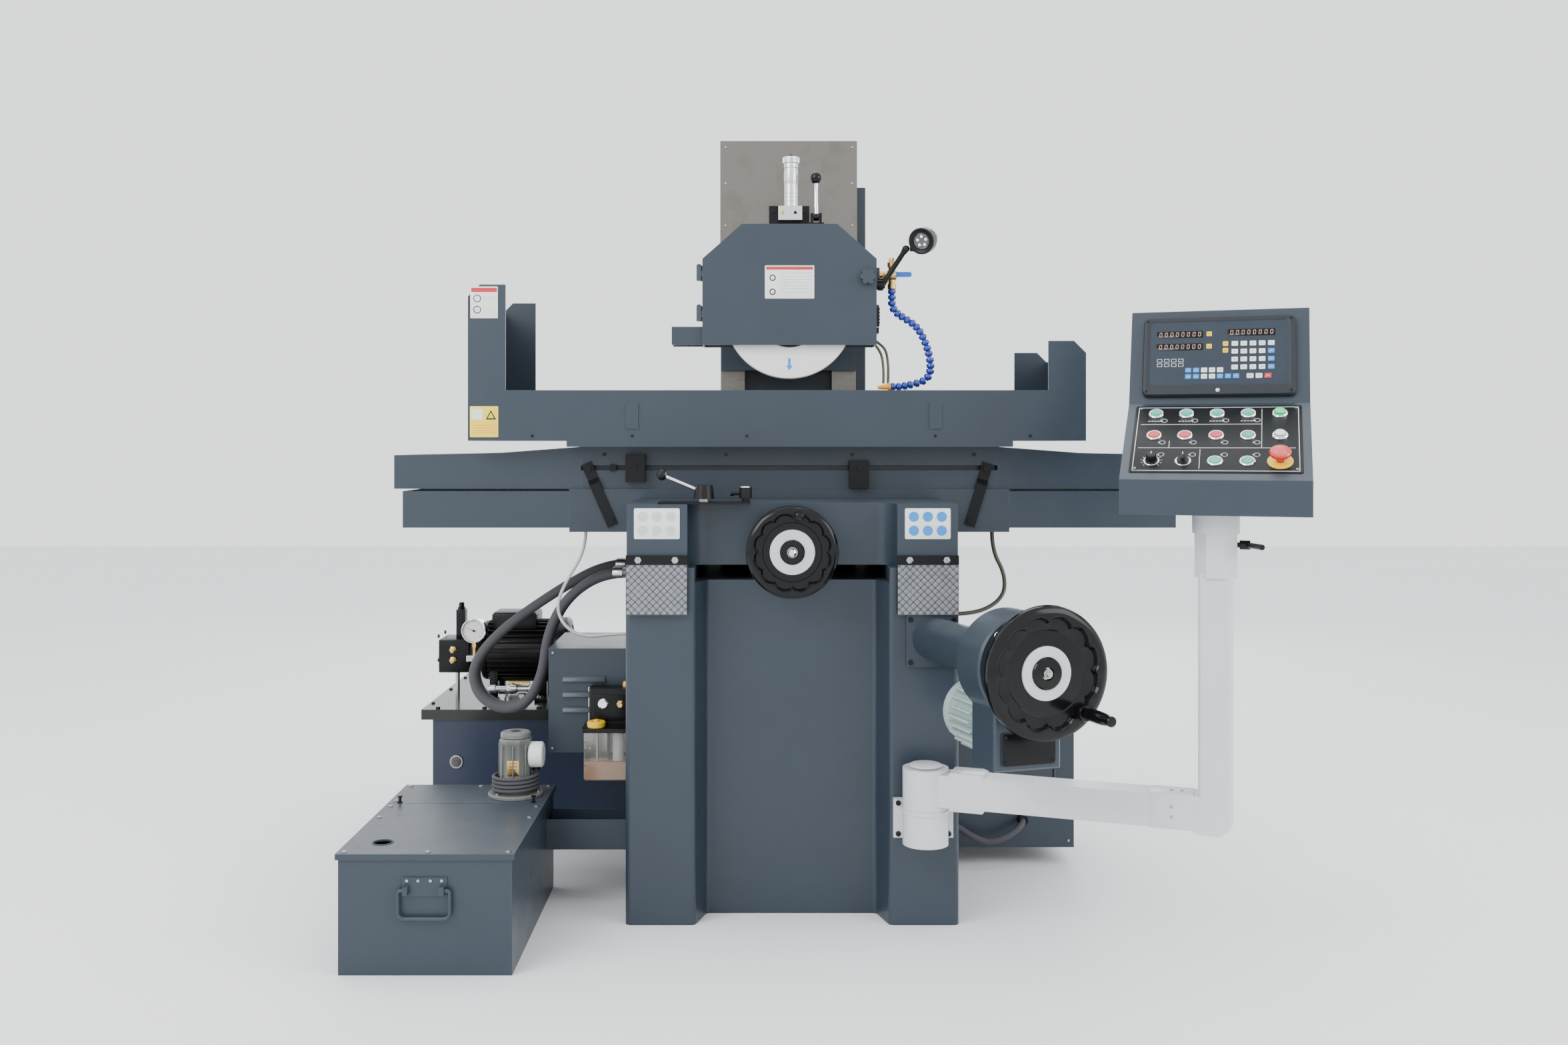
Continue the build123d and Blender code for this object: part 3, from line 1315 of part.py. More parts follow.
hose_thick = 12.5
hose_pair = 28
boss_x = -half_w - 36
hose_spine = [
    (boss_x, -20, 734),
    (boss_x - 60, -20, 734),
    (boss_x - 172, -20, 676),
    (boss_x - 324, -20, 572),
    (boss_x - 398, -24, 482),
    (boss_x - 385, -36, 413),
    (boss_x - 327, -54, 375),
    (boss_x - 256, -72, 386),
    (boss_x - 211, -86, 462),
    (boss_x - 197, -94, 572),
    (boss_x - 150, -96, 660),
    (boss_x - 60, -96, 720),
    (boss_x, -96, 720),
]

with BuildPart() as hydraulic_hoses:
    for side in (-0.5, 0.5):
        cord([(x, y + side * hose_pair, z) for x, y, z in hose_spine], hose_thick)
hydraulic_hoses.part.label = "hydraulic_hoses"
export_step(hydraulic_hoses.part, "parts/hydraulic_hoses.step")

line_y = saddle_front + 57
lube_r = 4
lube_route = [
    (-490, line_y, body_z0 - gap),
    (-490, line_y, 782),
    (-538, line_y, 705),
    (-562, line_y, 645),
    (-540, line_y, 594),
    (-490, line_y, 570),
    (-420, line_y, 580),
    (-half_w, line_y, 580),
]
signal_r = 5
signal_route = [
    (490, line_y, body_z0 - gap),
    (490, line_y, 782),
    (521, line_y, 724),
    (520, line_y, 672),
    (478, line_y, 638),
    (420, line_y, 626),
    (half_w, line_y, 626),
]
conduit_r = 8
conduit_y = cabinet_y0 - 34
conduit_route = [
    (half_w + 216, cabinet_y0, 112),
    (half_w + 216, conduit_y + 2, 112),
    (half_w + 178, conduit_y - 12, 84),
    (half_w + 128, conduit_y - 14, 66),
    (half_w + 84, conduit_y - 12, 82),
    (half_w + 44, conduit_y, 110),
    (half_w, conduit_y, 110),
]

with BuildPart() as service_lines:
    cord(lube_route, lube_r)
    cord(signal_route, signal_r)
    cord(conduit_route, conduit_r)
service_lines.part.label = "service_lines"
export_step(service_lines.part, "parts/service_lines.step")
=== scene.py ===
from math import cos, pi, radians, sin

import bmesh
import bpy
from mathutils import Matrix, Vector


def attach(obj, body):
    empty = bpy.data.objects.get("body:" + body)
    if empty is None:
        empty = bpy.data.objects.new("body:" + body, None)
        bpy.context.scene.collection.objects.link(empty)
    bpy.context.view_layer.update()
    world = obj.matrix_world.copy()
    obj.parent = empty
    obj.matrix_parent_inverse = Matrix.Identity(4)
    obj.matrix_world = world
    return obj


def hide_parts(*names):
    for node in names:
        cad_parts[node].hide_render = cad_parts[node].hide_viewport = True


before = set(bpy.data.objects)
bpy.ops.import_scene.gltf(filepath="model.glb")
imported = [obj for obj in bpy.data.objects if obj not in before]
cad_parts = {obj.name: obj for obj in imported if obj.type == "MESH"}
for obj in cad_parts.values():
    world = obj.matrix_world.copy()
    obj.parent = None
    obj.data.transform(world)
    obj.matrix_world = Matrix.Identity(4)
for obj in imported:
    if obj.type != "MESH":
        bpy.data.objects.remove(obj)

bl_info = {
    "name": "Surface grinder",
    "version": (1, 0, 0),
    "blender": (4, 5, 0),
    "location": "View3D > Sidebar > Grinder",
    "description": "Builds the looks of a hydraulic surface grinder around its CAD frame",
    "category": "Add Mesh",
}

MM = 0.001
UP = Vector((0, 0, 1))
ACROSS = Vector((1, 0, 0))
OUT = Vector((0, -1, 0))
NORTH = (0, 1, 0)
EAST = (1, 0, 0)
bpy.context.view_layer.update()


def facing(origin, across=ACROSS, out=OUT):
    """The frame with a given origin in millimetres, whose x runs across and whose z points out."""
    across = Vector(across).normalized()
    out = Vector(out).normalized()
    grid = Matrix((across, out.cross(across), out)).transposed().to_4x4()
    return Matrix.Translation(Vector(origin)) @ grid


def at(x, y, z=0):
    """A shift inside a frame, in millimetres."""
    return Matrix.Translation((x, y, z))


def swing(angle, axis="Z"):
    """A turn inside a frame, in degrees."""
    return Matrix.Rotation(radians(angle), 4, axis)


FRONT = facing((0, 0, 0))
BED_BACK = at(0, 540) @ swing(-90, "X")
COLUMN_BACK = at(0, 520) @ swing(-90, "X")


def along(start, end):
    """The frame at one point whose z points to another."""
    way = Vector(end) - Vector(start)
    side = UP if abs(way.normalized().z) < 0.9 else ACROSS
    return facing(start, side.cross(way), way)


class Shape:
    """Collects the faces of one piece in millimetres, each with its finish."""

    def __init__(self, place=None):
        self.mesh = bmesh.new()
        self.place = place or Matrix()
        self.finishes = []

    def paint(self, faces, finish):
        if finish not in self.finishes:
            self.finishes.append(finish)
        for face in faces:
            face.material_index = self.finishes.index(finish)

    def turned(self, profile, finish, place=None, steps=48, lobes=0):
        """Turn (radius, height) points about z. A third number lets the radius grow between the lobes."""
        spot = self.place @ (place or Matrix())
        rings = []
        for radius, height, *wave in profile:
            if radius < 0.001:
                rings.append([self.mesh.verts.new(spot @ Vector((0, 0, height)))])
                continue
            ring = []
            for step in range(steps):
                turn = 2 * pi * step / steps
                swell = wave[0] * abs(sin(lobes * turn / 2)) ** 0.7 if wave else 0
                reach = radius + swell
                ring.append(self.mesh.verts.new(spot @ Vector((reach * cos(turn), reach * sin(turn), height))))
            rings.append(ring)
        faces = []
        for low, high in zip(rings, rings[1:]):
            for step in range(steps):
                after = (step + 1) % steps
                if len(low) == 1 and len(high) == 1:
                    break
                if len(low) == 1:
                    corners = (low[0], high[after], high[step])
                elif len(high) == 1:
                    corners = (low[step], low[after], high[0])
                else:
                    corners = (low[step], low[after], high[after], high[step])
                faces.append(self.mesh.faces.new(corners))
        self.paint(faces, finish)

    def ring(self, inner, outer, low, high, finish, place=None, steps=48, soft=0.6):
        """A flat ring with softened edges."""
        profile = [
            (inner, low),
            (outer - soft, low),
            (outer, low + soft),
            (outer, high - soft),
            (outer - soft, high),
            (inner + soft, high),
            (inner, high - soft),
            (inner, low),
        ]
        self.turned(profile, finish, place, steps)

    def post(self, radius, low, high, finish, place=None, steps=32, soft=0.8):
        """A round bar with softened ends."""
        profile = [
            (0, low),
            (radius - soft, low),
            (radius, low + soft),
            (radius, high - soft),
            (radius - soft, high),
            (0, high),
        ]
        self.turned(profile, finish, place, steps)

    def slab(self, x0, x1, y0, y1, z0, z1, finish, soft=1.0, place=None):
        """A box with rounded edges between two corners."""
        spot = self.place @ (place or Matrix())
        middle = Matrix.Translation(((x0 + x1) / 2, (y0 + y1) / 2, (z0 + z1) / 2))
        size = Matrix.Diagonal((abs(x1 - x0), abs(y1 - y0), abs(z1 - z0), 1))
        made = bmesh.ops.create_cube(self.mesh, size=1, matrix=spot @ middle @ size)
        corners = made["verts"]
        self.paint({face for corner in corners for face in corner.link_faces}, finish)
        edges = list({edge for corner in corners for edge in corner.link_edges})
        if soft:
            bmesh.ops.bevel(
                self.mesh, geom=edges, offset=soft, segments=2, profile=0.5, affect="EDGES", material=-1,
            )

    def prism(self, outline, low, high, finish, soft=0.0, place=None):
        """A flat outline of (x, y) points made as thick as the space between two heights."""
        spot = self.place @ (place or Matrix())
        below = [self.mesh.verts.new(spot @ Vector((x, y, low))) for x, y in outline]
        above = [self.mesh.verts.new(spot @ Vector((x, y, high))) for x, y in outline]
        caps = [self.mesh.faces.new(below[::-1]), self.mesh.faces.new(above)]
        sides = []
        for step in range(len(outline)):
            after = (step + 1) % len(outline)
            sides.append(self.mesh.faces.new((below[step], below[after], above[after], above[step])))
        self.paint(caps + sides, finish)
        if soft:
            edges = [edge for cap in caps for edge in cap.edges]
            bmesh.ops.bevel(
                self.mesh, geom=edges, offset=soft, segments=2, profile=0.5, affect="EDGES", material=-1,
            )

    def pipe(self, points, radius, finish, steps=16, sections=8):
        """A round bar or hose that follows a smooth line through the points, in the place's frame."""
        line = smooth_line([Vector(point) for point in points], sections)
        side = None
        rings = []
        for index, here in enumerate(line):
            before = line[max(index - 1, 0)]
            after = line[min(index + 1, len(line) - 1)]
            way = (after - before).normalized()
            if side is None:
                side = way.orthogonal().normalized()
            side = (side - way * side.dot(way)).normalized()
            other = way.cross(side)
            ring = []
            for step in range(steps):
                turn = 2 * pi * step / steps
                spot = here + (side * cos(turn) + other * sin(turn)) * radius
                ring.append(self.mesh.verts.new(self.place @ spot))
            rings.append(ring)
        faces = [self.mesh.faces.new(rings[0][::-1]), self.mesh.faces.new(rings[-1])]
        for low, high in zip(rings, rings[1:]):
            for step in range(steps):
                after = (step + 1) % steps
                faces.append(self.mesh.faces.new((low[step], low[after], high[after], high[step])))
        self.paint(faces, finish)

    def screw(self, x, y, z, radius, finish="zinc", place=None):
        """A socket head screw that stands on a face."""
        profile = [
            (0, z),
            (radius, z),
            (radius, z + radius * 0.8),
            (radius * 0.85, z + radius),
            (radius * 0.52, z + radius),
            (radius * 0.5, z + radius * 0.45),
            (0, z + radius * 0.4),
        ]
        self.turned(profile, finish, (place or Matrix()) @ at(x, y), 24)

    def screws(self, across, up, *settings):
        """A screw at each crossing of some columns and rows."""
        for x in across:
            for y in up:
                self.screw(x, y, *settings)

    def nut(self, x, y, z, radius, height, finish="zinc", place=None):
        """A hexagon head or nut with its rounded top corners."""
        spot = (place or Matrix()) @ at(x, y)
        self.turned(
            [
                (0, z), (radius, z), (radius, z + height), (radius * 0.86, z + height * 1.12),
                (0, z + height * 1.12),
            ],
            finish, spot, 6,
        )

    def done(self, name, body, replaced=(), sharp=32):
        """Turn the collected faces into a piece that rides on a body."""
        bmesh.ops.recalc_face_normals(self.mesh, faces=self.mesh.faces)
        bmesh.ops.scale(self.mesh, vec=(MM, MM, MM), verts=self.mesh.verts)
        data = bpy.data.meshes.new(name)
        self.mesh.to_mesh(data)
        self.mesh.free()
        for finish in self.finishes:
            data.materials.append(bpy.data.materials[finish])
        data.shade_smooth()
        data.set_sharp_from_angle(angle=radians(sharp))
        piece = bpy.data.objects.new(name, data)
        bpy.context.scene.collection.objects.link(piece)
        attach(piece, body)
        if replaced:
            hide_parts(*replaced)


def smooth_line(points, sections):
    """Points on a smooth line through the given ones."""
    if len(points) < 3:
        return points
    line = []
    padded = [points[0] * 2 - points[1]] + points + [points[-1] * 2 - points[-2]]
    for first, here, after, last in zip(padded, padded[1:], padded[2:], padded[3:]):
        for step in range(sections):
            part = step / sections
            square = part * part
            cube = square * part
            line.append(
                0.5
                * (
                    2 * here
                    + (after - first) * part
                    + (2 * first - 5 * here + 4 * after - last) * square
                    + (3 * here - first - 3 * after + last) * cube
                )
            )
    line.append(points[-1])
    return line


def rounded(width, height, corner, steps=6, x=0, y=0):
    """The outline of a rectangle with round corners, about a middle point."""
    outline = []
    for side_x, side_y, start in ((1, 1, 0), (-1, 1, 90), (-1, -1, 180), (1, -1, 270)):
        for step in range(steps + 1):
            turn = radians(start + 90 * step / steps)
            outline.append((
                x + side_x * (width / 2 - corner) + corner * cos(turn),
                y + side_y * (height / 2 - corner) + corner * sin(turn),
            ))
    return outline


def coat(node, finish, soft=1.5, sharp=35):
    """Give a CAD node its finish and soften its edges."""
    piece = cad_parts[node]
    piece.data.materials.clear()
    piece.data.materials.append(bpy.data.materials[finish])
    for face in piece.data.polygons:
        face.material_index = 0
    piece.data.shade_smooth()
    piece.data.set_sharp_from_angle(angle=radians(sharp))
    if soft:
        flat = piece.modifiers.new("flat faces", "DECIMATE")
        flat.decimate_type = "DISSOLVE"
        flat.angle_limit = radians(0.5)
        edge = piece.modifiers.new("soft edges", "BEVEL")
        edge.width = soft * MM
        edge.segments = 2
        edge.limit_method = "ANGLE"
        edge.angle_limit = radians(40)
        edge.harden_normals = True


def coat_where(node, finish, test):
    """Give a second finish to some faces of a CAD node.

    The test gets the middle of a face, in millimetres, and the way it faces.
    """
    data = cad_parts[node].data
    data.materials.append(bpy.data.materials[finish])
    index = len(data.materials) - 1
    for face in data.polygons:
        if test(face.center / MM, face.normal):
            face.material_index = index


# ---- finishes ----


class Link:
    """A shader socket. Sums and products of it add Math nodes."""

    def __init__(self, recipe, socket):
        self.recipe = recipe
        self.socket = socket

    def math(self, operation, first, second):
        return self.recipe.node("ShaderNodeMath", {"operation": operation}, {0: first, 1: second})

    def __add__(self, other):
        return self.math("ADD", self, other)

    __radd__ = __add__

    def __mul__(self, other):
        return self.math("MULTIPLY", self, other)

    __rmul__ = __mul__


class Recipe:
    """The nodes of one finish around a Principled shader."""

    def __init__(self, name):
        self.material = bpy.data.materials.new(name)
        self.material.use_nodes = True
        self.tree = self.material.node_tree
        self.shader = next(node for node in self.tree.nodes if node.type == "BSDF_PRINCIPLED")
        self.place = self.node("ShaderNodeTexCoord", {}, {}, "Object")

    def node(self, kind, settings, sockets, output=0):
        """Add a node: its settings first, then the values or links of its sockets. Returns one output."""
        made = self.tree.nodes.new(kind)
        for name, value in settings.items():
            setattr(made, name, value)
        for name, value in sockets.items():
            self.plug(made.inputs[name], value)
        return Link(self, made.outputs[output])

    def plug(self, socket, value):
        if isinstance(value, Link):
            self.tree.links.new(value.socket, socket)
        else:
            socket.default_value = value

    def set(self, **sockets):
        """Set sockets of the shader by their names with underscores."""
        for name, value in sockets.items():
            self.plug(self.shader.inputs[name.replace("_", " ")], value)

    def noise(self, scale, detail=3, rough=0.5, stretch=None):
        """A cloudy value from 0 to 1; the scale is in features per metre."""
        place = self.place
        if stretch:
            place = self.node("ShaderNodeMapping", {}, {"Vector": place, "Scale": stretch})
        sockets = {"Vector": place, "Scale": scale, "Detail": detail, "Roughness": rough}
        return self.node("ShaderNodeTexNoise", {}, sockets)

    def sharpen(self, value, low, high):
        """Stretch a value so that low becomes 0 and high becomes 1."""
        sockets = {"Value": value, "From Min": low, "From Max": high}
        return self.node("ShaderNodeMapRange", {"clamp": True}, sockets)

    def mix(self, factor, first, second):
        """Mix two colours."""
        settings = {"data_type": "RGBA"}
        return self.node("ShaderNodeMix", settings, {0: factor, 6: first, 7: second}, 2)

    def edges(self, radius):
        """A value that is 1 on sharp edges and 0 on flat faces."""
        soft = self.node("ShaderNodeBevel", {"samples": 3}, {"Radius": radius})
        hard = self.node("ShaderNodeNewGeometry", {}, {}, "Normal")
        match = self.node("ShaderNodeVectorMath", {"operation": "DOT_PRODUCT"}, {0: soft, 1: hard}, "Value")
        return self.sharpen(match, 0.985, 0.80)

    def upward(self):
        """How far a face looks up, from 0 to 1."""
        way = self.node("ShaderNodeNewGeometry", {}, {}, "Normal")
        height = self.node("ShaderNodeSeparateXYZ", {}, {0: way}, "Z")
        return self.sharpen(height, 0.3, 1.0)

    def rough_up(self, height, strength, distance):
        """Raise the surface by a value."""
        bump = self.node(
            "ShaderNodeBump", {}, {"Height": height, "Strength": strength, "Distance": distance},
        )
        self.set(Normal=bump)


def tone(colour, lift):
    """A colour made lighter or darker by a factor."""
    return tuple(min(channel * lift, 1) for channel in colour[:3]) + (1,)


def enamel(name, colour, rough=0.38, wear=0.5, dust=0.12, peel=0.12, shine=0.35):
    """Shop enamel: orange peel, handling marks, dust on top and worn edges."""
    recipe = Recipe(name)
    patches = recipe.noise(5, 4, 0.6)
    marks = recipe.sharpen(recipe.noise(34, 5, 0.65), 0.56, 0.80)
    scratches = recipe.sharpen(recipe.noise(11, 6, 0.7, (1, 1, 22)), 0.64, 0.72)
    base = recipe.mix(patches, tone(colour, 0.86), tone(colour, 1.16))
    base = recipe.mix(marks * 0.22, base, tone(colour, 1.4))
    base = recipe.mix(recipe.upward() * recipe.noise(9, 4) * dust, base, (0.30, 0.32, 0.33, 1))
    base = recipe.mix(scratches * 0.10, base, tone(colour, 2.4))
    if wear:
        worn = recipe.edges(0.0022) * recipe.sharpen(recipe.noise(60, 5, 0.7), 0.40, 0.62)
        base = recipe.mix(worn * wear, base, tone(colour, 3.0))
    recipe.set(Base_Color=base)
    recipe.set(Roughness=patches * 0.14 + (rough - 0.07) + marks * 0.10)
    recipe.shader.inputs["Specular IOR Level"].default_value = shine
    recipe.shader.inputs["Coat Weight"].default_value = shine / 3
    recipe.shader.inputs["Coat Roughness"].default_value = 0.18
    recipe.rough_up(recipe.noise(420, 2) * 0.7 + recipe.noise(70, 2) * 0.3, peel, 0.0006)


def moulded(name, colour, rough=0.35, grain=900, bump=0.10, coat=0.0, spread=0.10, shine=0.5):
    """Moulded plastic or rubber: fine grain with smudges."""
    recipe = Recipe(name)
    smudge = recipe.noise(40, 4, 0.6)
    speck = recipe.sharpen(recipe.noise(260, 4, 0.7), 0.62, 0.75)
    base = recipe.mix(smudge, tone(colour, 0.88), tone(colour, 1.12))
    recipe.set(Base_Color=recipe.mix(speck * 0.035, base, (0.35, 0.35, 0.34, 1)))
    recipe.set(Roughness=smudge * spread + (rough - spread / 2) + speck * 0.06)
    recipe.shader.inputs["Specular IOR Level"].default_value = shine
    recipe.shader.inputs["Coat Weight"].default_value = coat
    recipe.shader.inputs["Coat Roughness"].default_value = 0.06
    recipe.rough_up(recipe.noise(grain, 2), bump, 0.0003)


def metal(
    name, colour, rough=0.28, stretch=None, bump=0.12, stain=0.25, dull=(0.18, 0.16, 0.14, 1), grain=600,
):
    """Bare or plated metal: tool marks along one way, stains and rubbed patches."""
    recipe = Recipe(name)
    lines = recipe.noise(grain, 3, 0.6, stretch)
    patches = recipe.noise(14, 5, 0.65)
    spots = recipe.sharpen(recipe.noise(55, 6, 0.7), 0.58, 0.75)
    base = recipe.mix(lines, tone(colour, 0.82), tone(colour, 1.12))
    base = recipe.mix(recipe.sharpen(patches, 0.5, 0.8) * stain, base, dull)
    recipe.set(Base_Color=recipe.mix(spots * stain * 0.6, base, dull))
    recipe.set(Roughness=lines * 0.16 + (rough - 0.08) + spots * 0.12)
    recipe.shader.inputs["Metallic"].default_value = 1.0
    recipe.rough_up(lines, bump, 0.0003)


def glowing(name, colour, strength):
    """A lit lamp or display segment."""
    recipe = Recipe(name)
    haze = recipe.noise(500, 3)
    recipe.set(Base_Color=recipe.mix(haze, tone(colour, 0.7), tone(colour, 1.1)))
    recipe.set(Emission_Color=recipe.mix(haze, tone(colour, 0.8), tone(colour, 1.0)))
    recipe.set(Roughness=haze * 0.1 + 0.25)
    recipe.shader.inputs["Emission Strength"].default_value = strength


def clear(name, colour, rough=0.06):
    """Clear moulded plastic or glass with a few smears."""
    recipe = Recipe(name)
    smear = recipe.noise(60, 4, 0.6)
    recipe.set(Base_Color=recipe.mix(smear, tone(colour, 0.94), colour))
    recipe.set(Roughness=smear * 0.10 + rough)
    recipe.shader.inputs["Transmission Weight"].default_value = 0.92
    recipe.shader.inputs["IOR"].default_value = 1.3
    recipe.rough_up(recipe.noise(120, 2), 0.05, 0.0003)


def abrasive(name):
    """White bonded grit with a dirty grinding edge."""
    recipe = Recipe(name)
    grit = recipe.noise(1500, 4, 0.8)
    stains = recipe.sharpen(recipe.noise(22, 5, 0.6), 0.52, 0.8)
    base = recipe.mix(grit, (0.62, 0.62, 0.60, 1), (0.92, 0.92, 0.90, 1))
    recipe.set(Base_Color=recipe.mix(stains * 0.2, base, (0.5, 0.48, 0.44, 1)))
    recipe.set(Roughness=grit * 0.15 + 0.8)
    recipe.rough_up(grit, 0.6, 0.0006)


def quilted(name):
    """Grey wiper felt, a fine weave with dark stains."""
    recipe = Recipe(name)
    weave = recipe.noise(900, 4, 0.7)
    dirt = recipe.sharpen(recipe.noise(30, 5, 0.6), 0.5, 0.8)
    base = recipe.mix(weave, (0.13, 0.14, 0.155, 1), (0.24, 0.255, 0.275, 1))
    recipe.set(Base_Color=recipe.mix(dirt * 0.4, base, (0.05, 0.05, 0.05, 1)))
    recipe.set(Roughness=weave * 0.2 + 0.6)
    recipe.rough_up(weave, 0.4, 0.0004)


class GrinderColours(bpy.types.PropertyGroup):
    """The colours that a user may change before the finishes are made"""

    slate: bpy.props.FloatVectorProperty(
        name="Machine enamel", description="Dark slate enamel of the castings and guards", subtype="COLOR",
        size=4, min=0, max=1, default=(0.0225, 0.0335, 0.047, 1),
    )
    white: bpy.props.FloatVectorProperty(
        name="Arm enamel", description="White enamel of the console's arm", subtype="COLOR", size=4, min=0,
        max=1, default=(0.57, 0.58, 0.61, 1),
    )
    motor: bpy.props.FloatVectorProperty(
        name="Motor enamel", description="Pale green-grey enamel of the lift motor", subtype="COLOR",
        size=4, min=0, max=1, default=(0.33, 0.42, 0.41, 1),
    )
    navy: bpy.props.FloatVectorProperty(
        name="Tank enamel", description="Dark navy enamel of the hydraulic tank", subtype="COLOR", size=4,
        min=0, max=1, default=(0.018, 0.026, 0.050, 1),
    )
    hose: bpy.props.FloatVectorProperty(
        name="Coolant hose", description="Blue plastic of the jointed coolant hose", subtype="COLOR",
        size=4, min=0, max=1, default=(0.012, 0.030, 0.26, 1),
    )
    start: bpy.props.FloatVectorProperty(
        name="Start buttons", description="Green plastic of the start buttons", subtype="COLOR", size=4,
        min=0, max=1, default=(0.03, 0.36, 0.25, 1),
    )
    stop: bpy.props.FloatVectorProperty(
        name="Stop buttons", description="Red plastic of the stop buttons", subtype="COLOR", size=4, min=0,
        max=1, default=(0.55, 0.018, 0.014, 1),
    )


class GrinderSizes(bpy.types.PropertyGroup):
    """The sizes and counts of details that a user may change"""

    soft_edge: bpy.props.FloatProperty(
        name="Casting edge", description="Width of the rounding along the castings' edges", unit="LENGTH",
        min=0, default=0.002,
    )
    sheet_edge: bpy.props.FloatProperty(
        name="Sheet edge", description="Width of the rounding along folded sheet metal", unit="LENGTH",
        min=0, default=0.0008,
    )
    lobes: bpy.props.IntProperty(
        name="Handwheel lobes", description="Finger hollows inside each handwheel's rim", min=3, default=12,
    )
    fins: bpy.props.IntProperty(
        name="Motor fins", description="Cooling fins around each motor", min=8, default=24,
    )
    quilt: bpy.props.FloatProperty(
        name="Quilt pitch", description="Spacing of the diamonds on the way wipers", unit="LENGTH",
        min=0.005, default=0.0155,
    )


def colours():
    return bpy.context.scene.grinder_colours


def sizes():
    return bpy.context.scene.grinder_sizes


class GRINDER_OT_finishes(bpy.types.Operator):
    """Make every enamel, metal, plastic and lamp that the pieces are finished in"""

    bl_idname = "grinder.finishes"
    bl_label = "Finishes"

    def execute(self, context):
        enamel("slate", colours().slate)
        enamel("white enamel", colours().white, 0.30, 0.0, 0.03, 0.05)
        enamel("motor enamel", colours().motor, 0.42)
        enamel("navy", colours().navy, 0.34)
        enamel("lid green", (0.006, 0.011, 0.008, 1), 0.20)
        enamel("satin black", (0.004, 0.004, 0.005, 1), 0.34, 0.25, 0.04, 0.12, 0.18)
        enamel("pump grey", (0.13, 0.14, 0.13, 1), 0.40, 0.4)
        moulded("gloss black", (0.003, 0.003, 0.0035, 1), 0.14, 300, 0.03, 0.08, 0.05, 0.22)
        moulded("black plastic", (0.006, 0.006, 0.0065, 1), 0.32, shine=0.22)
        moulded("rubber", (0.006, 0.006, 0.0065, 1), 0.58, 1400, 0.25, shine=0.14)
        moulded("white plastic", (0.74, 0.75, 0.74, 1), 0.30)
        moulded("yellow plastic", (0.80, 0.50, 0.01, 1), 0.32)
        moulded("blue plastic", colours().hose, 0.26, 700, 0.05, 0.4)
        moulded("tap blue", (0.01, 0.10, 0.45, 1), 0.30)
        moulded("key blue", (0.02, 0.22, 0.62, 1), 0.38)
        moulded("orange plastic", (0.85, 0.30, 0.01, 1), 0.32)
        moulded("start green", colours().start, 0.24, 500, 0.04, 0.5)
        moulded("stop red", colours().stop, 0.22, 500, 0.04, 0.5)
        moulded("panel black", (0.006, 0.007, 0.008, 1), 0.40, 1200, 0.08, shine=0.22)
        moulded("readout face", (0.020, 0.030, 0.044, 1), 0.34, 1200, 0.05, shine=0.3)
        moulded("readout case", (0.016, 0.020, 0.025, 1), 0.42, shine=0.3)
        moulded("display", (0.006, 0.003, 0.003, 1), 0.14, 300, 0.02, 0.05, shine=0.2)
        moulded("line white", (0.70, 0.71, 0.70, 1), 0.45)
        moulded("label white", (0.72, 0.73, 0.72, 1), 0.30)
        moulded("label yellow", (0.78, 0.60, 0.04, 1), 0.30)
        moulded("label red", (0.50, 0.02, 0.03, 1), 0.30)
        moulded("olive cable", (0.060, 0.065, 0.040, 1), 0.45)
        moulded("silver plastic", (0.52, 0.53, 0.54, 1), 0.30, 500, 0.03, 0.4)
        metal("ground steel", (0.52, 0.51, 0.49, 1), 0.26, (1, 26, 26), 0.08, 0.15)
        metal(
            "sheet steel", (0.185, 0.173, 0.158, 1), 0.27, (40, 40, 1.2), 0.10, 0.55, (0.12, 0.10, 0.08, 1),
            90,
        )
        metal("turned steel", (0.55, 0.55, 0.54, 1), 0.22, (1, 30, 30), 0.10, 0.10)
        metal("satin silver", (0.66, 0.67, 0.68, 1), 0.30, (30, 30, 1), 0.06, 0.08)
        metal("chrome", (0.78, 0.79, 0.80, 1), 0.10, None, 0.02, 0.08)
        metal("zinc", (0.42, 0.42, 0.41, 1), 0.30, None, 0.08, 0.35)
        metal("brass", (0.62, 0.42, 0.14, 1), 0.26, None, 0.06, 0.30, (0.20, 0.11, 0.04, 1))
        metal("scraped iron", (0.26, 0.25, 0.24, 1), 0.42, (1, 8, 8), 0.15, 0.35)
        metal("black steel", (0.030, 0.030, 0.032, 1), 0.34, None, 0.10, 0.2, (0.05, 0.035, 0.02, 1))
        glowing("red segment", (0.62, 0.42, 0.36, 1), 0.35)
        glowing("green lamp", (0.02, 0.62, 0.20, 1), 0.5)
        glowing("lamp light", (0.90, 0.93, 1.0, 1), 0.6)
        clear("clear plastic", (0.88, 0.88, 0.84, 1))
        clear("glass", (0.96, 0.97, 0.98, 1), 0.02)
        moulded("way oil", (0.34, 0.15, 0.04, 1), 0.12, 200, 0.02, 0.6)
        abrasive("white grit")
        quilted("quilted felt")
        return {"FINISHED"}


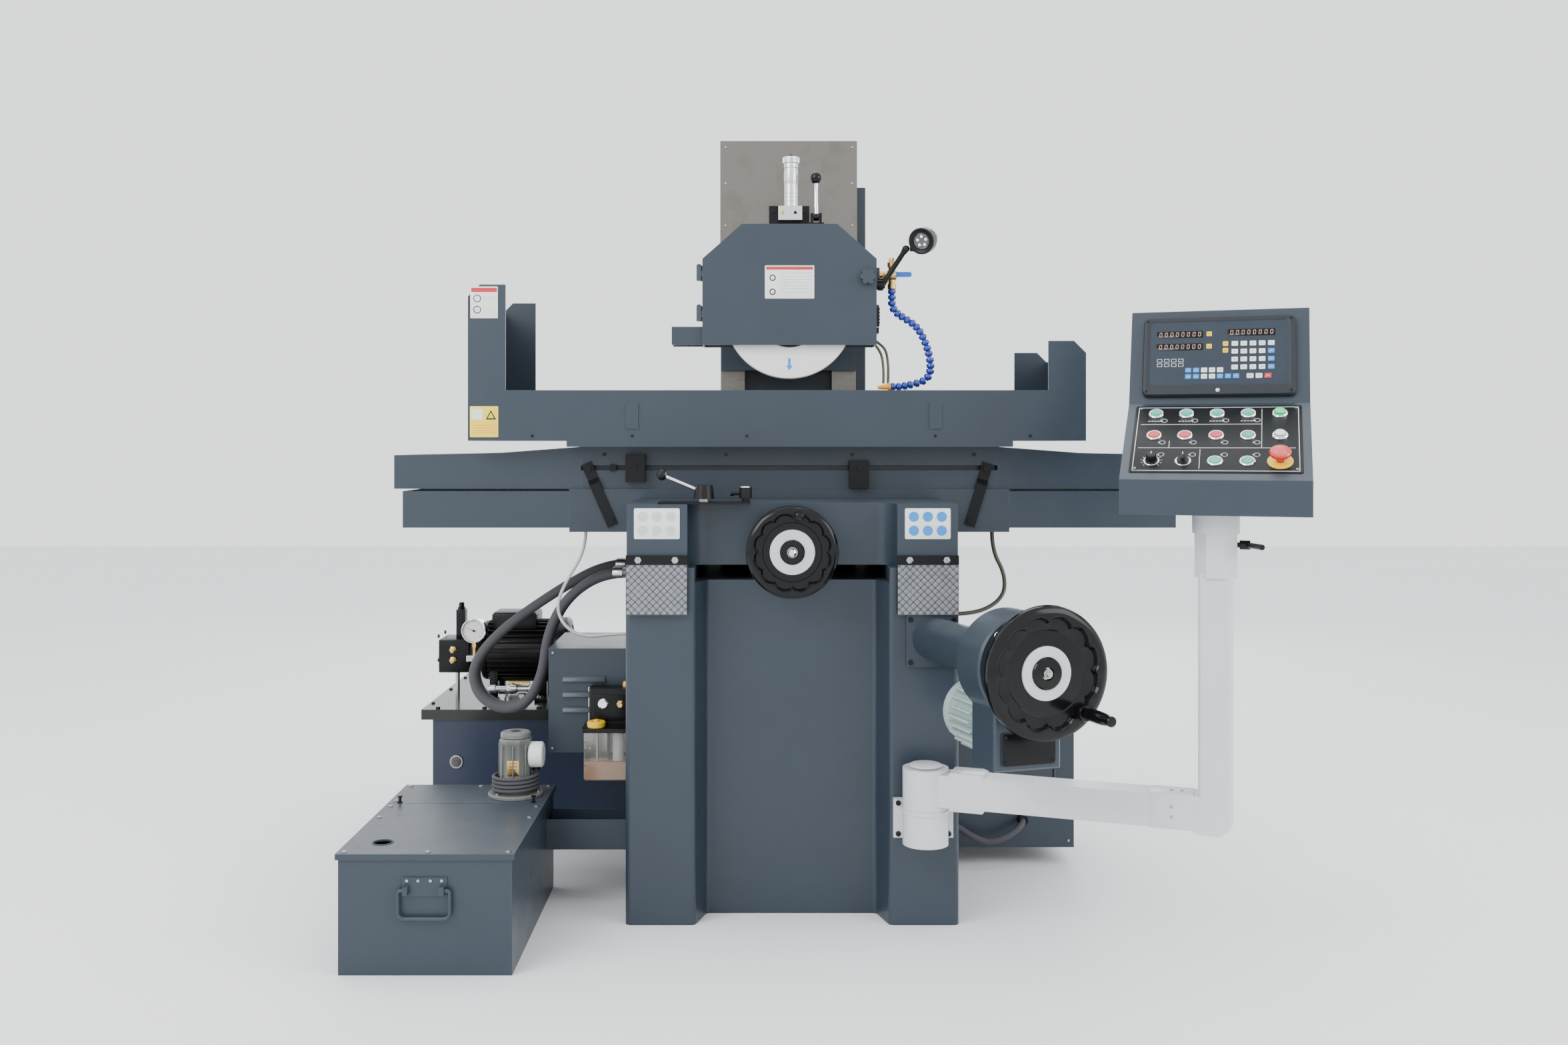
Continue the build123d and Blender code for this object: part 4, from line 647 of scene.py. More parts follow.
class GRINDER_OT_stage(bpy.types.Operator):
    """Set the camera, the soft studio light and the pale floor"""

    bl_idname = "grinder.stage"
    bl_label = "Stage"

    def execute(self, context):
        scene = context.scene
        lens = bpy.data.cameras.new("view")
        lens.sensor_width = 36
        lens.lens = 32.14
        lens.shift_x = 0.0149
        lens.shift_y = -0.0506
        camera = bpy.data.objects.new("view", lens)
        camera.location = (-0.068, -3.557, 1.039)
        camera.rotation_euler = (radians(90), 0, 0)
        scene.collection.objects.link(camera)
        scene.camera = camera
        world = bpy.data.worlds.new("studio")
        world.use_nodes = True
        sky = world.node_tree.nodes["Background"]
        sky.inputs["Color"].default_value = (0.93, 0.95, 0.97, 1)
        sky.inputs["Strength"].default_value = 1.85
        scene.world = world
        for name, place, size, power in (
            ("key", (-3.0, -3.4, 3.4), 2.6, 150),
            ("fill", (3.6, -2.6, 2.4), 2.4, 80),
            ("top", (0.0, 0.2, 4.2), 3.2, 50),
            ("back", (0.5, 4.0, 2.6), 2.6, 70),
        ):
            lamp = bpy.data.lights.new(name, "AREA")
            lamp.size = size
            lamp.energy = power
            light = bpy.data.objects.new(name, lamp)
            light.location = place
            light.rotation_euler = (Vector((0, 0, 0.9)) - light.location).to_track_quat("-Z", "Y").to_euler()
            scene.collection.objects.link(light)
        recipe = Recipe("studio floor")
        cloud = recipe.noise(0.8, 3)
        recipe.set(Base_Color=recipe.mix(cloud, (0.80, 0.81, 0.82, 1), (0.86, 0.865, 0.87, 1)))
        recipe.set(Roughness=cloud * 0.1 + 0.6)
        sheet = bmesh.new()
        bmesh.ops.create_grid(sheet, x_segments=24, y_segments=24, size=9)
        data = bpy.data.meshes.new("studio_floor")
        sheet.to_mesh(data)
        sheet.free()
        data.materials.append(recipe.material)
        floor = bpy.data.objects.new("studio_floor", data)
        floor.location = (0, 1.5, -0.0005)
        scene.collection.objects.link(floor)
        return {"FINISHED"}


class GRINDER_OT_castings(bpy.types.Operator):
    """Finish the bed, column, saddle, table, head and sheet metal that come from the frame"""

    bl_idname = "grinder.castings"
    bl_label = "Castings and sheet metal"

    def execute(self, context):
        casting = sizes().soft_edge / MM
        folded = sizes().sheet_edge / MM
        for node, edge in (
            ("base_casting", casting * 1.5), ("saddle_casting", casting), ("table_casting", casting * 0.6),
            ("column", casting), ("head_casting", casting), ("table_way_covers", folded),
            ("cylinder_covers", folded),
            ("splash_guards", folded * 0.8), ("wheel_guard", folded), ("guard_door", folded),
            ("lift_housing", casting),
            ("electrical_cabinet", folded), ("cabinet_door", folded), ("louvred_box", folded * 0.8),
            ("coolant_tank", folded * 0.7), ("console_box", folded),
        ):
            coat(node, "slate", edge)
        coat("console_arm", "white enamel", casting)
        coat("arm_bracket", "white enamel", casting)
        coat("column_way_cover", "sheet steel", 0)
        coat("grinding_wheel", "white grit", 0.6)
        coat("wheel_spindle", "turned steel", 0.8)
        coat("magnetic_chuck", "slate", 0.6)
        coat("table_dogs", "satin black", 0.8)
        coat("apron_fittings", "satin black", 0.6)
        coat("table_lever", "black plastic", 0.6)
        coat("reversing_knob", "black plastic", 0.6)
        coat("clamp_lever", "black plastic", 0.8)
        coat("tank_handle", "slate", 0)
        coat("hydraulic_tank", "navy", folded)
        coat("dresser_block", "satin silver", 0.8)
        coat_where("hydraulic_tank", "lid green", lambda spot, way: spot.z > 328)
        coat_where(
            "base_casting", "scraped iron", lambda spot, way: way.z > 0.9 and spot.z > 769 and spot.y < 163,
        )
        coat_where("saddle_casting", "scraped iron", lambda spot, way: way.z > 0.9 and spot.z > 929)
        coat_where(
            "column", "sheet steel", lambda spot, way: way.y < -0.9 and spot.y < 164 and spot.x < 186,
        )
        coat_where("magnetic_chuck", "ground steel", lambda spot, way: way.z > 0.5 and spot.z > 1109)
        coat_where("wheel_spindle", "satin black", lambda spot, way: abs(way.y) > 0.9 and spot.y < -245)
        coat_where("table_lever", "chrome", lambda spot, way: -275 < spot.x < -216 and spot.z > 920)
        coat_where("table_lever", "zinc", lambda spot, way: spot.z < 916)
        coat_where("reversing_knob", "chrome", lambda spot, way: spot.z > 936)
        coat_where("dresser_block", "satin black", lambda spot, way: spot.x > 40 or spot.y > -224.5)
        coat_where("apron_fittings", "zinc", lambda spot, way: spot.y < -560.5)
        coat_where("console_box", "white enamel", lambda spot, way: spot.z < 900.5)
        coat_where("head_casting", "satin black", lambda spot, way: spot.x > 184)
        return {"FINISHED"}


class GRINDER_OT_wipers(bpy.types.Operator):
    """Make the quilted wipers that hang over the bed's ways, and the blank plates above them"""

    bl_idname = "grinder.wipers"
    bl_label = "Way wipers"

    def execute(self, context):
        pitch = sizes().quilt / MM
        for side, label in ((-1, "left"), (1, "right")):
            pad = Shape(facing((side * 291, -555, 0)))
            columns = 104
            rows = 86
            grid = []
            seams = []
            for row in range(rows + 1):
                line = []
                for column in range(columns + 1):
                    x = -65 + 130 * column / columns
                    z = 671 + 107 * row / rows
                    first = abs((x + z) / pitch % 1 - 0.5) * 2
                    second = abs((x - z) / pitch % 1 - 0.5) * 2
                    near = max(first, second)
                    crown = 2.0 - 1.8 * near**5
                    line.append((near > 0.85, pad.mesh.verts.new(pad.place @ Vector((x, z, crown)))))
                grid.append(line)
            faces = []
            for row in range(rows):
                for column in range(columns):
                    corners = (
                        grid[row][column], grid[row][column + 1], grid[row + 1][column + 1],
                        grid[row + 1][column],
                    )
                    face = pad.mesh.faces.new([vert for deep, vert in corners])
                    (seams if sum(deep for deep, vert in corners) > 1 else faces).append(face)
            pad.paint(faces, "quilted felt")
            pad.paint(seams, "rubber")
            pad.slab(-66, 66, 670, 672, 0, 2, "rubber", 0.5)
            for x in (-39.6, 39.6):
                pad.nut(x, 788.5, 4.6, 7.6, 3.0, "zinc")
            pad.done(f"{label}_wiper", "saddle", sharp=60)
            plate = Shape(facing((side * 291, -550, 0)))
            plate.prism(rounded(98, 66, 3, 6, 0, 866), 0, 0.8, "label white", 0.3)
            for x in (-30, 0, 30):
                for z in (851, 881):
                    plate.turned(
                        [(0, 0.8), (11, 0.8), (11, 1.1), (0, 1.1)],
                        "silver plastic" if side < 0 else "key blue", at(x, z), 24,
                    )
            plate.done(f"{label}_apron_plate", "saddle")
        return {"FINISHED"}


def dished_wheel(shape, reach, back, front, hub):
    """The dished body of a handwheel whose rim has hollows for the fingers."""
    lobes = sizes().lobes
    inner = reach * 0.745
    swell = reach * 0.085
    shape.turned(
        [
            (hub, back),
            (reach * 0.93, back),
            (reach * 0.985, back + 3),
            (reach, back + 9),
            (reach * 0.985, front - 6),
            (reach * 0.94, front - 1.5),
            (reach * 0.88, front),
            (inner + 3, front - 0.6, swell),
            (inner, front - 4, swell),
            (inner - 2.5, front - 11, swell),
            (inner - reach * 0.10, front - 11.6),
            (inner - reach * 0.12, front - 13.5),
            (hub + 6, front - 13.5),
            (hub, front - 13.5),
        ],
        "gloss black",
        steps=144,
        lobes=lobes,
    )


class GRINDER_OT_cross_handwheel(bpy.types.Operator):
    """Make the cross feed handwheel with its dial, silver ring and grip"""

    bl_idname = "grinder.cross_handwheel"
    bl_label = "Cross handwheel"

    def execute(self, context):
        wheel = Shape(facing((0, 0, 805)))
        dished_wheel(wheel, 100, 546.5, 568.3, 12)
        wheel.ring(12, 38, 520.6, 546.5, "satin silver", steps=96)
        for step in range(50):
            wide = 7 if step % 5 == 0 else 4
            wheel.slab(-0.25, 0.25, 38.05, 38.2, 546 - wide, 546, "black plastic", 0, swing(step * 7.2))
        wheel.ring(26.5, 48.5, 553, 558.2, "silver plastic", steps=96)
        wheel.turned(
            [(12, 553), (26.4, 553), (26.4, 560.5), (24.5, 562.2), (12, 563)], "gloss black", steps=72,
        )
        wheel.ring(7, 11.6, 556, 566, "zinc")
        wheel.turned([(10.4, 556), (10.4, 570), (8.4, 574.5), (4.5, 577), (0, 577.3)], "chrome", steps=6)
        wheel.post(12, 440, 556, "turned steel")
        grip = at(12.8, 81.0)
        wheel.turned(
            [
                (14, 556), (14.6, 560), (14.6, 568.6), (13.4, 570), (7, 570.4), (6, 574), (6, 580),
                (9.6, 582), (11, 590), (10.8, 610), (9.8, 628), (8.2, 640.5), (5, 642.3), (0, 642.5),
            ],
            "gloss black",
            grip,
            40,
        )
        wheel.done("cross_feed_handwheel", "cross_handwheel", ["cross_handwheel"])
        return {"FINISHED"}


LIFT = facing(
    (302, -540, 619), (cos(radians(18)), sin(radians(18)), 0), (sin(radians(18)), -cos(radians(18)), 0),
)


class GRINDER_OT_lift(bpy.types.Operator):
    """Make the head lift's handwheel, turning grip, finned motor and gearbox hardware"""

    bl_idname = "grinder.lift"
    bl_label = "Head lift"

    def execute(self, context):
        wheel = Shape(LIFT)
        dished_wheel(wheel, 125, 478, 501, 12)
        wheel.ring(12, 36, 442.6, 464, "satin silver", steps=96)
        for step in range(50):
            wheel.slab(
                -0.25, 0.25, 36.05, 36.2, 457 if step % 5 else 453, 463, "black plastic", 0,
                swing(step * 7.2),
            )
        wheel.turned([(12, 464), (24, 464), (24, 478), (12, 478)], "gloss black")
        wheel.ring(30, 50, 486, 491, "silver plastic", steps=96)
        wheel.turned([(12, 486), (29.8, 486), (29.8, 493), (28, 495), (12, 495.8)], "gloss black", steps=72)
        wheel.ring(5, 9, 495, 497.5, "zinc")
        wheel.turned([(6.4, 490), (6.4, 499), (4.8, 501.5), (0, 502)], "zinc", steps=6)
        wheel.post(12, 370, 490, "turned steel")
        crank = at(74.25, -74.25)
        wheel.turned(
            [(16, 487.5), (16.4, 490), (16.4, 503), (14.6, 506), (6, 507), (6, 586.5), (0, 587)],
            "gloss black", crank, 40,
        )
        wheel.done("head_lift_handwheel", "lift_handwheel", ["lift_handwheel"])
        grip = Shape(LIFT @ crank)
        grip.turned(
            [
                (6.2, 508), (9.6, 508.4), (11.2, 512), (12, 522), (12, 548), (11.2, 566), (9.6, 577),
                (9, 580), (9.8, 583), (9.8, 588), (7.5, 590.6), (0, 591),
            ],
            "gloss black",
            steps=40,
        )
        grip.done("turning_grip", "lift_grip", ["lift_grip"])
        motor = Shape(LIFT @ at(0, -119))
        motor.turned(
            [(0, 180), (52, 180), (62, 184), (65, 190), (65, 210), (58, 214), (56, 318), (0, 318)],
            "motor enamel", steps=64,
        )
        for step in range(sizes().fins):
            turn = 360 * step / sizes().fins
            motor.slab(-1.5, 1.5, 54, 72.5, 214, 316, "motor enamel", 0.5, swing(turn))
        for ring in range(5):
            motor.ring(9 + ring * 9, 12.5 + ring * 9, 178.6, 180.6, "satin black")
        motor.ring(48, 60, 316, 330, "motor enamel")
        for turn in (45, 135, 225, 315):
            motor.nut(0, 61, 318, 4.6, 5, "zinc", swing(turn))
        motor.slab(56, 92, -34, 34, 246, 302, "motor enamel", 2.5)
        motor.slab(91, 94, -30, 30, 250, 298, "pump grey", 1)
        for x, z in ((-24, 256), (24, 256), (-24, 292), (24, 292)):
            motor.screw(x, -z, 0, 2.6, "zinc", at(94, 0, 0) @ swing(90, "Y") @ swing(90, "Z"))
        motor.done("finned_lift_motor", "base", ["lift_motor"])
        gear = Shape(LIFT)
        gear.ring(30, 43.5, 441.8, 443.0, "satin black")
        gear.screws((-49, 49), (-175, -127), 424, 3.4, "black steel")
        gear.prism(rounded(110, 60, 5, 5, 0, -151), 424, 425.4, "satin black", 0.4)
        gear.post(8, 408, 421.5, "chrome", at(-62, 62))
        for turn in (20, 110, 200, 290):
            gear.screw(0, 90, 420, 3.6, "black steel", swing(turn))
        gear.done("gearbox_hardware", "base")
        bolts = Shape(facing((302, -552, 619)))
        bolts.screws((-48, 46), (-51, 41), 0, 5.2, "black steel")
        bolts.done("lift_flange_bolts", "base")
        arm = Shape(facing((279, -556, 234)))
        arm.screws((-52, 56), (-32, 34), 0, 5.6, "black steel")
        arm.done("arm_bracket_bolts", "base")
        return {"FINISHED"}


ARM_ACROSS = Vector((cos(radians(20)), -sin(radians(20)), 0))
ARM_OUT = Vector((-sin(radians(20)), -cos(radians(20)), 0))
FOOT = Vector((279, -610, 0))
POST = FOOT + ARM_ACROSS * 582
CONSOLE_Z = 901.3
FOLD = POST + ARM_OUT * -98 + UP * (CONSOLE_Z + 218)
PANEL_UP = (UP * 150 - ARM_OUT * 204).normalized()
SCREEN_UP = (UP * 196 - ARM_OUT * 74).normalized()
PANEL = facing(FOLD, ARM_ACROSS, ARM_ACROSS.cross(PANEL_UP))
SCREEN = facing(FOLD, ARM_ACROSS, ARM_ACROSS.cross(SCREEN_UP))
PITCH = 59
ROWS = (-38, -112, -196)
START_SPOTS = ((-2, 0), (-1, 0), (0, 0), (1, 0), (1, 1), (0, 2), (1, 2))
STOP_SPOTS = ((-2, 1), (-1, 1), (0, 1))


def spot_on_panel(column, row):
    return PANEL @ at(column * PITCH, ROWS[row])


class GRINDER_OT_panel(bpy.types.Operator):
    """Make the console's button plate with its lines, bezels, buttons, lamps and knobs"""

    bl_idname = "grinder.panel"
    bl_label = "Button panel"

    def execute(self, context):
        plate = Shape(PANEL)
        plate.prism(rounded(318, 222, 4, 5, 0, -121), 0.2, 1.4, "panel black", 0.3)
        for x0, x1, y0, y1 in (
            (-153, 153, -16.5, -15.3), (-153, 153, -227, -225.8), (-153, -151.8, -227, -15.3),
            (151.8, 153, -227, -15.3), (-146, 84, -74.6, -73.6), (-146, 146, -153.4, -152.4),
            (84, 85, -153, -22), (-88, -87, -152, -130), (-29, -28, -220, -158),
        ):
            plate.slab(x0, x1, y0, y1, 1.3, 1.75, "line white", 0)
        for column in range(-2, 2):
            middle = column * PITCH
            for row, drop in enumerate((-23, -23, 21)):
                mark = ROWS[row] + drop
                for step in range(5 if row == 1 else 0):
                    left = middle - 14 + step * 6
                    plate.slab(
                        left, left + 4, ROWS[row] + 48.1, ROWS[row] + 49.9, 1.3, 1.7, "line white", 0,
                    )
                plate.ring(5.2, 6.0, 1.3, 1.75, "line white", at(middle + 17, mark), 24, 0.1)
                plate.slab(middle + 9, middle + 13, mark - 1, mark + 1, 1.3, 1.7, "line white", 0)
        plate.screws((-148, 148), (-20.5, -221.5), 1.4, 2.6, "zinc")
        for column, row in START_SPOTS + STOP_SPOTS:
            plate.turned(
                [(11.3, 1.4), (15, 1.4), (15, 3.2), (13.6, 4.6), (11.8, 4.6), (11.3, 3.4)], "chrome",
                at(column * PITCH, ROWS[row]), 48,
            )
        for row, finish in ((0, "green lamp"), (1, "white plastic")):
            spot = at(2 * PITCH, ROWS[row])
            plate.turned([(11.4, 1.4), (15, 1.4), (15, 3.4), (13.4, 5), (11.4, 5)], "chrome", spot, 48)
            plate.turned([(11.2, 4.6), (11.2, 7.6), (9.5, 10), (5, 11.3), (0, 11.7)], finish, spot, 48)
        plate.turned(
            [(7, 1.4), (23.6, 1.4), (23.6, 2.8), (22.8, 3.2), (7, 3.2)], "yellow plastic",
            at(2 * PITCH, ROWS[2]), 64,
        )
        for column in (-2, -1):
            plate.turned(
                [(7, 1.4), (15.4, 1.4), (15.4, 2.8), (14.6, 3.4), (7, 3.4)], "chrome",
                at(column * PITCH, ROWS[2]), 48,
            )
        for step in range(11):
            plate.slab(
                -0.4, 0.4, 17.5, 20.5, 1.3, 1.75, "line white", 0,
                at(-2 * PITCH, ROWS[2]) @ swing(-135 + 27 * step),
            )
        plate.done("button_plate", "console")
        for kind, spots, finish in (
            ("start", START_SPOTS, "start green"), ("stop", STOP_SPOTS, "stop red"),
        ):
            for number, (column, row) in enumerate(spots, 1):
                cap = Shape(spot_on_panel(column, row))
                cap.turned(
                    [(0, -14), (10.8, -14), (10.8, 5.2), (10.2, 6.2), (9.2, 6.5), (7.5, 6.1), (0, 5.4)],
                    finish, steps=48,
                )
                cap.done(f"{kind}_cap_{number}", f"{kind}_button_{number}", [f"{kind}_button_{number}"])
        stop = Shape(spot_on_panel(2, 2))
        stop.turned(
            [
                (0, -14), (6, -14), (6, 13), (13, 13.2), (14, 15), (14.2, 18), (19, 19.4), (20, 22),
                (19.8, 25), (17.5, 28), (12, 29), (0, 29),
            ],
            "stop red", steps=64,
        )
        for turn in (0, 120, 240):
            stop.slab(-4.5, 4.5, 8.6, 10.0, 28.7, 29, "line white", 0, swing(turn))
        stop.done("mushroom_stop", "emergency_stop", ["emergency_stop"])
        speed = Shape(spot_on_panel(-2, 2))
        speed.turned(
            [(0, -14), (6, -14), (6, 1.9), (12.5, 1.9), (12.5, 5.2), (11.2, 5.8)], "black plastic",
            steps=48,
        )
        speed.turned(
            [(11.2, 5.8), (9.3, 6.2, 0.8), (8.9, 17.0, 0.8), (8.2, 18.4, 0.4), (6, 18.8), (0, 18.6)],
            "black plastic", steps=120, lobes=20,
        )
        speed.slab(-0.7, 0.7, 1.5, 9, 18.5, 18.8, "line white", 0)
        speed.done("speed_dial", "speed_knob", ["speed_knob"])
        mode = Shape(spot_on_panel(-1, 2))
        mode.turned(
            [(0, -14), (6, -14), (6, 1.9), (11.5, 1.9), (11.5, 6.4), (10.4, 7.8), (0, 7.8)],
            "black plastic", steps=48,
        )
        mode.prism(rounded(7, 23, 3.2), 7.6, 16.7, "black plastic", 1.0)
        mode.slab(-0.7, 0.7, 3, 10.4, 16.4, 16.78, "line white", 0)
        mode.done("mode_switch", "mode_selector", ["mode_selector"])
        return {"FINISHED"}


def digit(shape, x, y, high, lit):
    """One seven-segment digit; lit is a string of seven signs."""
    wide = high * 0.52
    bar = high * 0.1
    slant = high * 0.10
    places = (
        (0, high / 2, wide, bar), (wide / 2, high / 4, bar, high / 2), (wide / 2, -high / 4, bar, high / 2),
        (0, -high / 2, wide, bar), (-wide / 2, -high / 4, bar, high / 2),
        (-wide / 2, high / 4, bar, high / 2), (0, 0, wide, bar),
    )
    for number, (dx, dy, w, h) in enumerate(places):
        if lit[number] == "1":
            lean = slant * dy / high
            w = w * 0.8 if w > h else w
            h = h * 0.8 if h > w else h
            shape.slab(
                x + dx + lean - w / 2, x + dx + lean + w / 2, y + dy - h / 2, y + dy + h / 2, 13.15, 13.45,
                "red segment", 0,
            )


class GRINDER_OT_readout(bpy.types.Operator):
    """Make the digital readout with its windows, digits and keys"""

    bl_idname = "grinder.readout"
    bl_label = "Digital readout"

    def execute(self, context):
        unit = Shape(SCREEN @ at(0, 102))
        outline = rounded(298, 176, 12, 8)
        inner = rounded(268, 140, 6, 8, 0, 6)
        unit.prism(outline, 0.2, 9, "readout case", 0.8)
        front = [
            (outline, 9.0), ([(x * 0.985, y * 0.975) for x, y in outline], 13.4),
            ([(x * 0.955, y * 0.93) for x, y in outline], 14.0),
            ([(x * 1.02, (y - 6) * 1.03 + 6) for x, y in inner], 13.9), (inner, 12.4),
        ]
        rings = [[unit.mesh.verts.new(unit.place @ Vector((x, y, height))) for x, y in line] for line, height in front]
        faces = []
        for low, high in zip(rings, rings[1:]):
            for step in range(len(low)):
                after = (step + 1) % len(low)
                faces.append(unit.mesh.faces.new((low[step], low[after], high[after], high[step])))
        unit.paint(faces, "readout case")
        unit.prism(inner, 11, 12.5, "readout face")
        for x, y, wide in ((-76, 48, 92), (64, 50, 92), (-76, 20, 92)):
            unit.prism(rounded(wide, 15, 1.5, 4, x, y), 12.4, 13.1, "display", 0.2)
            for step in range(8):
                digit(unit, x - wide / 2 + 8 + step * (wide - 15) / 7, y, 8.6, "1111110")
        keys = Shape(SCREEN @ at(0, 102))

        def key(x, y, finish, wide=10.5):
            keys.prism(rounded(wide, 10.5, 1.4, 4, x, y), 12.4, 13.9, finish, 0.4)
            keys.slab(
                x - 2.6, x + 2.6, y - 0.4, y + 0.4, 13.85, 14.0,
                "panel black" if finish not in ("key blue", "stop red") else "line white", 0,
            )

        for y in (48, 20):
            key(-18, y, "yellow plastic")
        for y in (25, 10):
            key(14, y, "yellow plastic")
        for row in range(4):
            for column in range(5):
                finish = "key blue" if column == 4 and row > 0 else "white plastic"
                key(32 + column * 17.5, 25 - row * 17.5, finish, 12.5)
        soft_keys = ("key blue",) * 2 + ("white plastic",) * 2 + ("key blue",) * 3
        soft_keys += ("white plastic",) * 2 + ("stop red",)
        for column, finish in enumerate(soft_keys):
            if column < 7:
                key(-58 + column * 15.5, -47, finish, 12)
                if column < 5:
                    key(-58 + column * 15.5, -33, "key blue" if column < 2 else "white plastic", 12)
            else:
                key(-58 + column * 17.1, -47, finish, 13)
        for column in range(4):
            for row in range(2):
                keys.slab(
                    -120 + column * 14, -110 + column * 14, -14 - row * 10, -7 - row * 10, 12.4, 12.8,
                    "line white", 0,
                )
                keys.slab(
                    -119.2 + column * 14, -110.8 + column * 14, -13.2 - row * 10, -7.8 - row * 10, 12.7,
                    12.95, "readout face", 0,
                )
        keys.turned([(0, 12), (5, 12), (5, 13.6), (4, 14), (0, 14)], "satin silver", at(0, -77.5), 32)
        keys.done("readout_keys", "console")
        unit.screws((-140, 140), (-79, 79), 13.2, 2.2, "black steel")
        unit.done("readout_unit", "console", ["dro_unit"])
        return {"FINISHED"}


